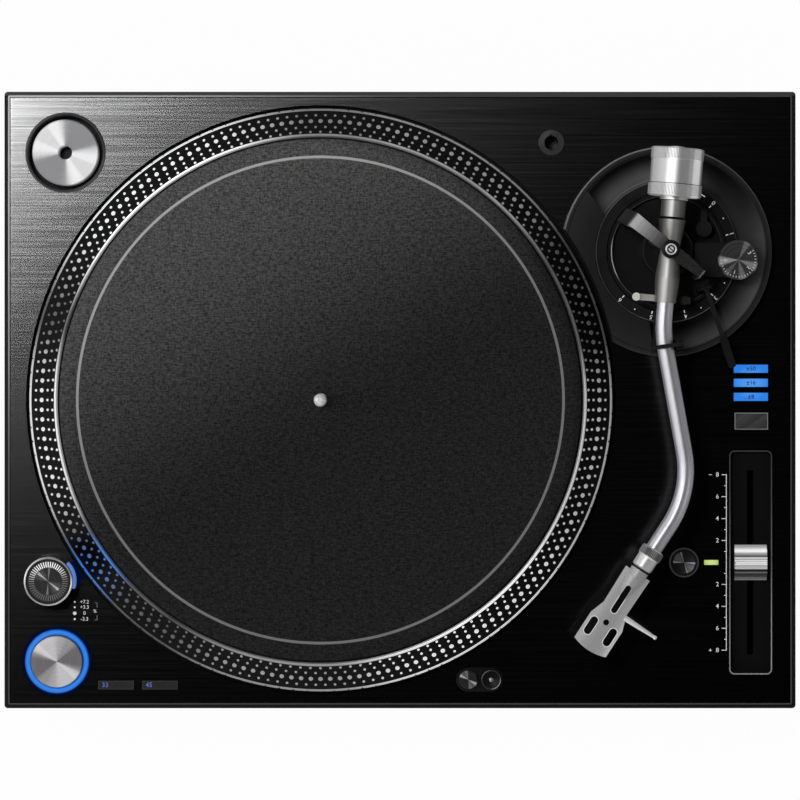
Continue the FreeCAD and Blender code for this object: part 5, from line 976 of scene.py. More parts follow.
def lathe(profile: Sequence[Point], steps: int = 64, closed: bool = True) -> BMesh:
    """Turns a profile about the Z axis.

    Args:
        profile: Points of radius and height, in order.
        steps: How many faces go round.
        closed: Whether the last point joins the first.

    Returns:
        The turned shape, with faces outward.
    """
    shape = bmesh.new()
    corners = [shape.verts.new((radius, 0.0, height)) for radius, height in profile]
    pairs = list(zip(corners, corners[1:])) + [(corners[-1], corners[0])] * closed
    lines = [shape.edges.new(pair) for pair in pairs]
    bmesh.ops.spin(shape, geom=corners + lines, cent=(0, 0, 0), axis=(0, 0, 1), angle=math.tau,
                   steps=steps, use_merge=True)
    bmesh.ops.remove_doubles(shape, verts=shape.verts, dist=MERGE)
    bmesh.ops.recalc_face_normals(shape, faces=shape.faces)
    return shape


def hoop(inner: float, outer: float, height: float, steps: int = 48) -> BMesh:
    """A flat ring on nought."""
    return lathe([(inner, 0.0), (outer, 0.0), (outer, height), (inner, height)], steps)


def box(width: float, depth: float, height: float) -> BMesh:
    """A block on nought.

    Args:
        width: Along X.
        depth: Along Y.
        height: Along Z.

    Returns:
        The block.
    """
    shape = bmesh.new()
    bmesh.ops.create_cube(shape, size=1.0, matrix=at(0, 0, 0.5))
    bmesh.ops.scale(shape, vec=(width, depth, height), verts=shape.verts)
    return shape


def disc(radius: float, height: float, sides: int = 12) -> BMesh:
    """A low round plate on nought.

    Args:
        radius: Its radius.
        height: Its thickness.
        sides: How many faces go round.

    Returns:
        The plate.
    """
    shape = bmesh.new()
    bmesh.ops.create_cone(shape, cap_ends=True, segments=sides, radius1=radius, radius2=radius,
                          depth=height, matrix=at(0, 0, height / 2))
    return shape


def stamp(target: BMesh, mesh: bpy.types.Mesh, *places: Matrix) -> BMesh:
    """Copies a mesh into a shape at each place.

    Args:
        target: The shape that takes the copies.
        mesh: The mesh, removed here.
        places: Where it is put.

    Returns:
        The target.
    """
    for place in places:
        start = len(target.verts)
        target.from_mesh(mesh)
        target.verts.ensure_lookup_table()
        bmesh.ops.transform(target, matrix=place, verts=target.verts[start:])
    bpy.data.meshes.remove(mesh)
    return target


def add(target: BMesh, part: BMesh, *places: Matrix) -> BMesh:
    """Copies a shape into another at each place, and uses it up.

    Args:
        target: The shape that takes the copies.
        part: The shape that is copied.
        *places: Where each copy is put.

    Returns:
        The target.
    """
    spare = bpy.data.meshes.new("spare")
    part.to_mesh(spare)
    part.free()
    return stamp(target, spare, *places)


def lettered(words: Sequence[tuple[str, float, Matrix]], depth: float = INK_DEPTH,
             bold: float = 0.0) -> BMesh:
    """Plain numbers and signs as thin raised print.

    Args:
        words: Each text with its height in millimetres and its place.
        depth: The print's thickness.
        bold: How much the strokes are widened.

    Returns:
        All the texts in one shape.
    """
    whole = bmesh.new()
    for text, height, place in words:
        curve = bpy.data.curves.new("print", "FONT")
        curve.body = text
        curve.size = height * CAPITALS
        curve.align_x = curve.align_y = "CENTER"
        curve.resolution_u = 3
        curve.extrude = depth / 2
        curve.offset = bold
        holder = bpy.data.objects.new("print", curve)
        mesh = bpy.data.meshes.new_from_object(holder)
        bpy.data.objects.remove(holder)
        bpy.data.curves.remove(curve)
        stamp(whole, mesh, place @ at(0, 0, depth / 2))
    return whole


def extruded(shape: BMesh, way: Spot) -> BMesh:
    """Pulls a shape's faces along a way, so that they become a solid.

    Args:
        shape: The flat shape, changed here.
        way: Which way and how far.

    Returns:
        The same shape, now a solid.
    """
    grown = bmesh.ops.extrude_face_region(shape, geom=shape.faces[:])["geom"]
    risen = [item for item in grown if isinstance(item, bmesh.types.BMVert)]
    bmesh.ops.translate(shape, vec=way, verts=risen)
    bmesh.ops.recalc_face_normals(shape, faces=shape.faces)
    return shape


def knurled(radius: float, length: float, teeth: int, tooth: float, bore: float) -> BMesh:
    """A ring with straight teeth round it, standing on nought.

    Args:
        radius: Over the teeth.
        length: Along its axis.
        teeth: How many there are.
        tooth: How deep they are cut.
        bore: The radius of its hole.

    Returns:
        The ring.
    """
    shape = bmesh.new()
    outer = bmesh.ops.create_circle(shape, segments=teeth * 2, radius=radius)["verts"]
    share = 1 - tooth / radius
    bmesh.ops.scale(shape, vec=(share, share, 1), verts=outer[::2])
    bmesh.ops.create_circle(shape, segments=teeth * 2, radius=bore)
    bmesh.ops.bridge_loops(shape, edges=shape.edges[:])
    return extruded(shape, (0, 0, length))


def rect_line(size: Point, thick: float, corner: float, height: float) -> BMesh:
    """A thin line round a rectangle, raised a little.

    Args:
        size: Outer size along X and Y.
        thick: The line's width.
        corner: The outer corner radius.
        height: How far it is raised.

    Returns:
        The line.
    """
    shape = bmesh.new()
    bmesh.ops.create_grid(shape, x_segments=1, y_segments=1, size=0.5)
    bmesh.ops.scale(shape, vec=(*size, 1), verts=shape.verts)
    bmesh.ops.bevel(shape, geom=shape.verts[:], offset=corner, affect="VERTICES", segments=6,
                    profile=0.5, material=-1)
    inset = bmesh.ops.inset_region(shape, faces=shape.faces[:], thickness=thick,
                                   use_boundary=True, use_even_offset=True)
    inside = [face for face in shape.faces if face not in set(inset["faces"])]
    bmesh.ops.delete(shape, geom=inside, context="FACES")
    return extruded(shape, (0, 0, height))


@dataclass
class Studio:
    """Floor, soft lamps, surroundings and the camera straight above."""

    lens: float = 259.4
    floor_size: float = 9000.0
    paper: float = 0.78
    target: Spot = (0.0, 0.0, 0.1)
    lamps: tuple[tuple[str, Spot, float, float, float], ...] = (
        ("lamp_rear_left", (-0.68, 0.58, 3.1), 0.6, 0.6, 15.0),
        ("lamp_left", (-1.9, 0.2, 2.3), 1.2, 2.2, 19.0),
        ("lamp_right", (2.6, -0.6, 1.9), 0.9, 2.2, 5.0),
        ("lamp_front", (-0.4, -2.8, 1.7), 2.4, 0.8, 12.0))

    def build(self) -> None:
        """Builds floor, world, lamps and camera."""
        self.floor()
        self.world()
        for name, place, width, depth, power in self.lamps:
            data = bpy.data.lights.new(name, "AREA")
            data.shape = "RECTANGLE"
            data.size, data.size_y, data.energy = width, depth, power
            lamp = linked(name, data)
            lamp.location = place
            look = Vector(self.target) - Vector(place)
            lamp.rotation_euler = look.to_track_quat("-Z", "Y").to_euler()
        self.camera()

    def floor(self) -> None:
        """A plain pale floor that shows white and keeps the shadow."""
        shape = bmesh.new()
        bmesh.ops.create_grid(shape, x_segments=1, y_segments=1, size=self.floor_size / 2)
        floor = meshed("floor", shape)
        paper = bpy.data.materials.new("studio_floor")
        paper.use_nodes = True
        sheet = Sheet(paper.node_tree)
        path = sheet.node("ShaderNodeLightPath", out="Is Camera Ray")
        plain = sheet.node("ShaderNodeBsdfDiffuse", inputs={"Color": grey(self.paper)})
        white = sheet.node("ShaderNodeEmission", inputs={"Color": WHITE, "Strength": 1.0})
        sheet.close(sheet.node("ShaderNodeMixShader", inputs=(path * 0.98, plain, white)))
        floor.data.materials.append(paper)

    def world(self) -> None:
        """Bright near the floor's edge, dark overhead, as a room with a dark ceiling."""
        scene = bpy.context.scene
        scene.world = bpy.data.worlds.new("studio_room")
        scene.world.use_nodes = True
        sheet = Sheet(scene.world.node_tree)
        left, _, up = sheet.parts(sheet.node("ShaderNodeTexCoord", out="Generated"))
        room = (1.0 - up.eased(0.2, 0.93)) * (0.54 - left * 0.36) + 0.007
        ray = sheet.node("ShaderNodeLightPath", out="Is Camera Ray")
        strength = sheet.node("ShaderNodeMix", {"data_type": "FLOAT"}, {0: ray, 2: room, 3: 1.0})
        light = sheet.node("ShaderNodeBackground", inputs={"Color": WHITE, "Strength": strength})
        sheet.close(light, "ShaderNodeOutputWorld")

    def camera(self) -> None:
        """Straight above the middle of the deck, as in the photograph."""
        data = bpy.data.cameras.new("camera")
        data.lens = self.lens
        data.sensor_width = 36.0
        data.clip_end = 50.0
        camera = linked("camera", data)
        camera.location = (0.0, 0.0, (DECK_TOP + CAMERA_HEIGHT) * MM)
        bpy.context.scene.camera = camera
        bpy.context.scene.view_settings.view_transform = "Standard"


@dataclass
class Deck:
    """Base, chassis, top panel, feet, rear sockets and what is inside."""

    bevel_size: Point = (448.7, 348.7)
    bevel: Spot = (0.85, 0.8, 0.06)
    socket: Spot = (5.9, 7.4, 0.8)
    socket_face: float = 160.5
    socket_height: float = 40.5
    sockets: tuple[tuple[str, float, Ink], ...] = (
        ("left", 95.0, Ink("left_socket_white", (0.7, 0.7, 0.68))),
        ("right", 113.0, Ink("right_socket_red", (0.55, 0.02, 0.02))))

    def build(self) -> None:
        """Dresses case and inside, and adds a line painted as the bevel's highlight and the
        sockets' coloured rings.
        """
        dress(base_shell=CastMetal("dark_base_body", (0.018, 0.018, 0.019), (0.032, 0.032, 0.033),
                                   0.62, depth=0.00008, grain=1200.0),
              chassis=CaseMetal("black_deck_casting", 0.34, grain=2200.0, dark=grey(0.004),
                                pale=grey(0.075)),
              top_panel=DeckFace("brushed_deck_face"),
              foot_front_left=FOOT_RUBBER, foot_front_right=FOOT_RUBBER,
              foot_rear_left=FOOT_RUBBER, foot_rear_right=FOOT_RUBBER, case_screws=DULL_STEEL,
              phono_jacks=WorkedMetal("jack_gold_metal", (0.75, 0.62, 0.3), Grain.ROUND,
                                      gloss=0.25, tilt=0.04),
              ground_post=BRIGHT_STEEL, mains_inlet=DARK_PLASTIC, button_switches=DARK_PLASTIC,
              fader_track=SLOT_BLACK,
              control_board=CastMetal("board_green", (0.01, 0.06, 0.03), (0.02, 0.1, 0.05), 0.45),
              power_transformer=CastMetal("core_iron", grey(0.05), (0.1, 0.08, 0.06), 0.5, 0.4),
              motor_stator=CastMetal("stator_iron", (0.2, 0.1, 0.05), (0.3, 0.16, 0.08), 0.4,
                                     0.6),
              rotor_magnet=CastMetal("magnet_iron", (0.06, 0.06, 0.065), (0.1, 0.1, 0.11), 0.5,
                                     0.7),
              spindle_bearing=CastMetal("bearing_bronze", (0.35, 0.22, 0.09), (0.45, 0.3, 0.13),
                                        0.35, 1.0))
        # A thin raised line painted as the highlight on the panel's bevel.
        line = rect_line(self.bevel_size, *self.bevel)
        finished("border_bevel", line, EdgeMetal("border_highlight_paint"), PANEL, at(0, 0, DECK_TOP))
        backward = Matrix.Rotation(math.radians(-90.0), 4, "X")
        for side, x, ink in self.sockets:
            finished(f"socket_ring_{side}", hoop(*self.socket), ink, ("deck", "jack_metal"),
                     at(x, self.socket_face, self.socket_height) @ backward)


@dataclass
class Platter:
    """The platter with its strobe dots, the slipmat and the spindle."""

    steps: int = 240
    inner: Points = ((150.35, 117.3), (150.35, 117.52), (150.5, 117.56), (151.4, 117.56),
                     (151.6, 117.5), (151.62, 116.6), (151.4, 116.6), (151.4, 117.3))
    slope: Points = ((149.6, 117.4), (149.6, 117.51), (150.3, 117.54), (150.3, 117.4))
    outer: Points = ((165.3, 104.72), (166.45, 103.55), (166.55, 103.3), (166.55, 102.4),
                     (166.3, 102.4), (166.3, 103.3), (165.2, 104.4))
    rim_top: Point = (151.6, 116.5)
    rim_foot: Point = (164.6, 105.4)
    rows: tuple[tuple[float, int, float], ...] = ((163.0, 186, 0.85), (159.7, 180, 1.45),
                                                  (156.3, 174, 0.85), (153.5, 168, 0.85))
    mat_radius: float = 148.8
    mat_hole: float = 3.9
    mat_from: float = 115.5
    mat_to: float = 117.8
    mat_rings: int = 24

    def build(self) -> None:
        """Dresses the platter and lays the rings, the dots and the mat."""
        dress(platter=PlatterFace("platter_face"),
              spindle=Polished("spindle_pin_steel", grey(0.95), 0.35, 0.25))
        # Rings with painted highlight lobes, painted glow and a painted patch of the strobe's blue
        # light.
        bright = RimMetal("platter_ring_metal", gloss=0.26)
        dim = RimMetal("platter_ring_slope_metal", grey(0.42), (0.02, 0.08, 0.3), lit=0.15)
        for name, profile, metal in (("inner", self.inner, bright), ("slope", self.slope, dim),
                                     ("outer", self.outer, bright)):
            finished(f"platter_ring_{name}", lathe(profile, self.steps), metal, PLATTER,
                     at(*SPINDLE))
        self.dots()
        self.mat()

    def slope_at(self, seen: float) -> Point:
        """Where a radius seen from above lies on the rim's slope.

        Args:
            seen: The radius as the camera sees it on the deck's plane.

        Returns:
            The true radius and the height.
        """
        (r1, z1), (r2, z2) = self.rim_top, self.rim_foot
        radius = seen
        for _ in range(3):
            height = z1 + (z2 - z1) * (radius - r1) / (r2 - r1)
            radius = seen * (CAMERA_HEIGHT - (height - DECK_TOP)) / CAMERA_HEIGHT
        return radius, height

    def dots(self) -> None:
        """The four rows of bright dots, each given by radius seen, count and size of its dots."""
        (r1, z1), (r2, z2) = self.rim_top, self.rim_foot
        lean = Matrix.Rotation(math.atan2(z1 - z2, r2 - r1), 4, "Y")
        # Dots with the same painted highlights and blue patch, more weakly.
        metal = RimMetal("strobe_dot_metal", metallic=0.1, share=0.45)
        for number, (seen, count, size) in enumerate(self.rows, 1):
            radius, height = self.slope_at(seen)
            dot = bmesh.new()
            bmesh.ops.create_cone(dot, cap_ends=True, segments=12, radius1=size,
                                  radius2=size * 0.82, depth=0.4)
            bmesh.ops.scale(dot, vec=(1.15, 1.0, 1.0), verts=dot.verts)
            places = [at(*SPINDLE, 0, 360.0 * step / count) @ at(radius, 0, height) @ lean
                      for step in range(count)]
            finished(f"strobe_dots_{number}", add(bmesh.new(), dot, *places), metal, PLATTER)

    def mat(self) -> None:
        """The slipmat, a soft sheet with rounded edges."""
        low, high, hole, rim = self.mat_from, self.mat_to, self.mat_hole, self.mat_radius
        middle = (low + high) / 2
        radii = [hole + (rim - hole) * step / self.mat_rings for step in range(1, self.mat_rings)]
        profile = [(hole, middle), (hole + 0.3, high - 0.2)]
        profile += [(radius, high + 0.05 * math.sin(radius * 0.9) - 0.05) for radius in radii]
        profile += [(rim - 0.7, high - 0.12), (rim, middle), (rim - 0.5, low), (hole + 0.3, low)]
        cloth = finished("slipmat_cloth", lathe(profile, 180), MatCloth("slipmat_felt"),
                         ("mat", "felt"), at(*SPINDLE), 60.0)
        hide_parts("slipmat")


@dataclass
class StartCorner:
    """The start button in its lit ring and the two speed keys."""

    centre: Point = (-196.3, -149.6)
    lobes: Lobes = ((118.0, -0.45, 0.8), (146.0, 0.88, 0.35), (60.0, 0.6, 0.3))
    keys: tuple[tuple[str, float], ...] = (("33", -162.5), ("45", -137.4))
    key_y: float = -163.1
    key_top: float = 99.9
    key_edge: Point = (20.2, 4.7)
    key_line: Spot = (0.22, 0.3, 0.05)
    number_offset: float = -6.2

    def build(self) -> None:
        """Dresses the button, its ring and the keys."""
        # Painted highlight lobes on the start button's spun face.
        dress(start_button=SpunMetal("start_button_face", (0.2, 0.19, 0.2), (1.0, 0.98, 1.0),
                                     self.centre, self.lobes, 2.0, 0.28, 0.22),
              start_ring=LitPlastic("start_ring_glow", (0.0, 0.03, 0.24), (0.012, 0.22, 0.82),
                                    self.centre, 16.6, 1.6),
              speed_button_33=KEY_PLASTIC, speed_button_45=KEY_PLASTIC)
        blue = Ink("blue_ink", (0.12, 0.22, 0.6), 0.25)
        dim = Ink("dim_line", grey(0.06))
        for number, x in self.keys:
            seat = (f"speed_{number}_key", "button_dark")
            place = at(x + self.number_offset, self.key_y, self.key_top + 0.025)
            finished(f"speed_number_{number}", lettered([(number, 2.8, place)], bold=0.01), blue,
                     seat)
            finished(f"speed_edge_{number}", rect_line(self.key_edge, *self.key_line), dim, seat,
                     at(x, self.key_y, self.key_top))


@dataclass
class StrobeTower:
    """The on/off knob on the strobe light, and the pitch marks beside it."""

    centre: Point = (-200.1, -103.2)
    top: float = 120.3
    rim: Points = ((12.5, -1.6), (12.5, -0.3), (12.7, -0.05), (13.15, 0.1), (13.6, -0.05),
                   (13.85, -0.35), (13.85, -1.6))
    face_lobes: Lobes = ((141.0, 0.96, 0.75), (141.0, 0.1, 0.1), (86.0, 0.97, 0.3))
    tick: Spot = (3.2, 0.5, 0.07)
    tick_radius: float = 9.6
    tick_count: int = 48
    tick_drop: float = 0.8
    marks: tuple[tuple[str, float, float], ...] = (("+7.2", -115.6, 0.6), ("+3.3", -118.6, 0.6),
                                                   ("0", -122.1, 1.05), ("-3.3", -125.4, 0.6))
    dot_x: float = -186.2
    number_x: float = -180.6
    percent: Point = (-174.6, -120.9)
    bracket: tuple[tuple[Spot, float, Point], ...] = (
        ((0.3, 2.8, INK_DEPTH), -173.4, (-117.4, -124.6)),
        ((1.4, 0.3, INK_DEPTH), -174.1, (-116.1, -125.9)))

    def build(self) -> None:
        """Dresses the tower, sets the knob's rim and ticks and prints the marks."""
        # Painted highlight lobes on the knob's spun face.
        dress(strobe_housing=DARK_PLASTIC,
              strobe_lens=LitPlastic("strobe_lens_glow", (0.02, 0.09, 0.4), (0.14, 0.26, 0.7),
                                     self.centre, 14.2, 1.3, 0.9),
              power_knob=SpunMetal("power_knob_face", grey(0.008), grey(0.75), self.centre,
                                   self.face_lobes, 2.0, 0.14, reach=7.3))
        # Painted highlight on the polished rim.
        metal = SpunMetal("power_knob_rim_metal", (0.45, 0.45, 0.46), grey(0.98), self.centre,
                          ((150.0, -0.6, 1.0),), 2.0, 0.1, gloss=0.25, tilt=0.04)
        finished("power_knob_rim", lathe(self.rim, 96), metal, KNOB, at(*self.centre, self.top))
        places = [at(*self.centre, self.top - self.tick_drop, 360.0 * step / self.tick_count)
                  @ at(self.tick_radius, 0) for step in range(self.tick_count)]
        # White ticks with painted light: brighter and glowing towards the rear.
        paint = SpunMetal("power_knob_tick_print_and_highlight", grey(0.1), WHITE, self.centre,
                          ((95.0, -0.1, 1.0),), metallic=0.0, lit=0.5)
        finished("power_knob_ticks", add(bmesh.new(), box(*self.tick), *places), paint, KNOB)
        self.pitch_marks()

    def pitch_marks(self) -> None:
        """Four dots, their numbers and a bracket."""
        dots = bmesh.new()
        for _, y, size in self.marks:
            add(dots, disc(size, INK_DEPTH), at(self.dot_x, y, DECK_TOP))
        words = [(text, 2.1, at(self.number_x, y, DECK_TOP)) for text, y, _ in self.marks]
        words.append(("%", 2.0, at(*self.percent, DECK_TOP)))
        add(dots, lettered(words, bold=0.012), Matrix())
        finished("pitch_marks", dots, WHITE_INK, PANEL)
        bracket = bmesh.new()
        for size, x, rows in self.bracket:
            add(bracket, box(*size), *(at(x, y, DECK_TOP) for y in rows))
        finished("pitch_bracket", bracket, Ink("grey_line", grey(0.36)), PANEL)


@dataclass
class StylusLamp:
    """The pop-up lamp and its button in one oval plate."""

    lamp: Point = (39.1, -160.0)
    button: Point = (52.1, -160.0)
    ring: Points = ((5.05, 101.4), (5.1, 101.75), (5.55, 101.75), (5.6, 101.3))
    pip: Points = ((0.0, 100.8), (0.9, 100.9), (1.2, 101.2), (0.8, 101.5), (0.0, 101.6))
    post_lobes: Lobes = ((151.0, 0.9, 0.9), (140.0, 0.4, 0.22), (105.0, 0.85, 0.35))
    ring_lobes: Lobes = ((-38.0, 0.5, 1.0), (140.0, 0.6, 0.3))

    def build(self) -> None:
        """Dresses the plate, the post and the button."""
        # Painted highlight lobes on the lamp post's face.
        dress(lamp_bezel=CastMetal("lamp_plate", grey(0.006), grey(0.012), 0.3),
              target_light=SpunMetal("lamp_post_face", grey(0.01), grey(0.6), self.lamp,
                                     self.post_lobes, 2.0, 0.12),
              lamp_button=DARK_PLASTIC)
        # Painted highlight lobes on the button's ring.
        metal = SpunMetal("lamp_button_edge", grey(0.05), grey(0.55), self.button, self.ring_lobes)
        finished("lamp_button_ring", lathe(self.ring), metal, LAMP_KEY, at(*self.button))
        finished("lamp_button_pip", lathe(self.pip, 32, False), DULL_STEEL, LAMP_KEY,
                 at(*self.button))


@dataclass
class TempoFader:
    """The tempo fader with its scale, the reset button and the centre light."""

    centre: Point = (200.7, -93.0)
    tray: Point = (24.5, 128.2)
    tray_line: Spot = (0.65, 3.0, 0.07)
    tray_top: float = 98.4
    knob_half: float = 9.1
    knob_foot: float = 95.8
    knob_side: Points = (
        (-10.1, 0.0), (-10.1, 3.0), (-9.6, 3.7), (-6.2, 8.4), (-5.2, 8.8), (-5.0, 7.6),
        (-3.8, 7.6), (-3.6, 9.6), (-2.9, 9.9), (-2.4, 9.6), (-1.9, 9.9), (-1.4, 9.6), (-0.9, 9.9),
        (-0.6, 10.5), (0.6, 10.5), (0.9, 9.9), (1.4, 9.6), (1.9, 9.9), (2.4, 9.6), (2.9, 9.9),
        (3.4, 9.6), (3.6, 8.6), (4.0, 8.7), (9.6, 3.7), (10.1, 3.0), (10.1, 0.0))
    knob_tones: Points = (
        (-30.0, 0.16), (-9.2, 0.1), (-8.2, 0.04), (-7.2, 0.02), (-6.0, 0.1), (-5.1, 0.004),
        (-3.7, 0.42), (-2.2, 0.3), (-1.2, 0.8), (-0.8, 0.3), (0.8, 0.7), (1.6, 0.34),
        (2.4, 0.6), (3.0, 0.36), (3.4, 0.05), (3.9, 0.18), (4.6, 0.32), (5.3, 0.55), (6.0, 1.0),
        (7.5, 0.75), (8.2, 0.5), (9.0, 0.36))
    stem: Spot = (2.4, 4.0, 13.0)
    stem_foot: float = -12.8
    knob_line: Spot = (17.8, 0.9, 0.06)
    knob_top: float = 106.3
    unit: float = 6.28
    line_x: float = 186.8
    number_x: float = 181.7
    sign_x: float = 177.7
    stroke: float = 0.42
    ticks: Point = (2.7, 1.2)
    sign: Point = (1.7, 0.35)
    light: Point = (178.2, -93.0)
    reset: Point = (162.5, -93.0)
    reset_face: Points = ((0.0, 100.12), (6.3, 100.92), (6.3, 100.85), (0.0, 100.05))
    reset_edge: Points = ((7.5, 100.7), (7.6, 100.97), (8.3, 100.97), (8.5, 100.7))
    reset_lobes: Lobes = ((176.0, 0.965, 0.8), (108.0, 0.975, 0.6), (142.0, 0.3, 0.24))

    def build(self) -> None:
        """Dresses the tray and adds knob, scale, reset button and lights."""
        dress(fader_panel=CastMetal("tray_plastic", grey(0.003), grey(0.006), 0.45, specular=0.08),
              centre_led=LitPlastic("centre_light", (0.36, 0.5, 0.1), (0.62, 0.72, 0.25),
                                    self.light, 0.0, 4.0),
              reset_button=DARK_PLASTIC)
        # A thin line painted as the tray edge's highlight, brightest at the front right.
        metal = EdgeMetal("tray_edge_highlight_paint", grey(0.42), grey(0.07), (213.0, -157.0), 120.0)
        finished("fader_tray_line", rect_line(self.tray, *self.tray_line), metal,
                 ("deck", "fader_tray"), at(*self.centre, self.tray_top))
        self.knob_cap()
        self.scale()
        # Painted highlight lobes on the reset button's spun face.
        metal = SpunMetal("reset_face_metal", grey(0.006), grey(0.52), self.reset,
                          self.reset_lobes, 2.0, 0.08)
        finished("reset_face", lathe(self.reset_face, 64, False), metal, RESET_KEY,
                 at(*self.reset))
        finished("reset_edge", lathe(self.reset_edge), Ink("reset_edge_grey", grey(0.05)),
                 RESET_KEY, at(*self.reset))

    def knob_cap(self) -> None:
        """The silver knob: rear slope painted light, ridged middle with its white line, front
        painted in shade.
        """
        shape = bmesh.new()
        shape.faces.new([shape.verts.new((-self.knob_half, y, z)) for y, z in self.knob_side])
        extruded(shape, (2 * self.knob_half, 0, 0))
        add(shape, box(*self.stem), at(0, 0, self.stem_foot))
        metal = StepMetal("fader_knob_metal", self.knob_tones, 90.0, 0.22, 0.2, 0.5,
                          centre=self.centre)
        cap = finished("tempo_knob_cap", shape, metal, FADER, at(*self.centre, self.knob_foot),
                       25.0)
        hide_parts("tempo_knob")
        # White line with a painted glow.
        finished("tempo_knob_line", box(*self.knob_line), Ink("knob_line_white", grey(0.9), 0.4),
                 FADER, at(*self.centre, self.knob_top))

    def scale(self) -> None:
        """The scale's line, its ticks, its numbers and their signs."""
        middle = self.centre[1]
        end = 8 * self.unit
        scale = add(bmesh.new(), box(self.stroke, 2 * end + 0.4, INK_DEPTH),
                    at(self.line_x, middle, DECK_TOP))
        words = []
        for step in (*range(-8, 0), *range(1, 9)):
            y = middle + step * self.unit
            wide = self.ticks[step % 2]
            add(scale, box(wide, self.stroke, INK_DEPTH), at(self.line_x - wide / 2, y, DECK_TOP))
            if step % 2 == 0:
                words.append((str(abs(step)), 2.6, at(self.number_x, y, DECK_TOP)))
        add(scale, lettered(words, bold=0.015), Matrix())
        low, high = at(self.sign_x, middle - end, DECK_TOP), at(self.sign_x, middle + end, DECK_TOP)
        add(scale, box(*self.sign, INK_DEPTH), high, low)
        add(scale, box(*self.sign[::-1], INK_DEPTH), low)
        finished("tempo_scale", scale, WHITE_INK, PANEL)


@dataclass
class RangeKeys:
    """The three lit range windows and the key below them."""

    x: float = 200.9
    top: float = 98.32
    rows: tuple[tuple[str, float], ...] = (("±50", 17.9), ("±16", 9.85), ("±8", 1.8))
    key: Point = (201.0, -12.1)
    key_edge: Point = (19.0, 9.6)
    key_line: Spot = (0.4, 0.4, 0.06)
    key_top: float = 100.1

    def build(self) -> None:
        """Dresses windows and key and prints the numbers."""
        dress(range_windows=LitPlastic("range_window_glow", (0.012, 0.19, 0.75),
                                       (0.07, 0.32, 0.88), (self.x, self.rows[1][1]), 0.0, 10.0),
              range_button=WorkedMetal("range_key_face", grey(0.11), Grain.ACROSS,
                                       (*self.key, 0.0), 35.0, 0.4, 0.2, 700.0, 0.25, 0.97, 110.0))
        words = [(text, 2.5, at(self.x, y, self.top)) for text, y in self.rows]
        finished("range_numbers", lettered(words, 0.05, 0.03),
                 Ink("dark_ink", (0.003, 0.005, 0.012)), ("deck", "range_lamp"))
        finished("range_key_edge", rect_line(self.key_edge, *self.key_line),
                 Ink("key_edge_grey", (0.4, 0.4, 0.39)), ("range_key", "button_dark"),
                 at(*self.key, self.key_top))


@dataclass
class RearCorner:
    """The single adapter in its well and the headshell stand."""

    adapter: Point = (-191.5, 141.6)
    lobes: Lobes = ((140.0, -0.7, 0.7), (109.0, 0.75, 0.4), (175.0, 0.7, 0.4))
    stand: Point = (86.6, 147.3)

    def build(self) -> None:
        """Dresses adapter, well and stand."""
        # Painted highlight lobes on the well's flange, the adapter and the stand.
        dress(adapter_well=WellMetal("adapter_well_metal", 0.34, 0.2, 0.0, dark=grey(0.002),
                                     centre=self.adapter),
              single_adapter=SpunMetal("adapter_face", (0.26, 0.26, 0.27), WHITE, self.adapter,
                                       self.lobes, 2.0, 0.2, 0.2, 0.1),
              headshell_stand=SpunMetal("stand_metal", grey(0.014), grey(0.048), self.stand,
                                        ((135.0, 0.2, 1.0),), 1.0, 0.1, 0.1))


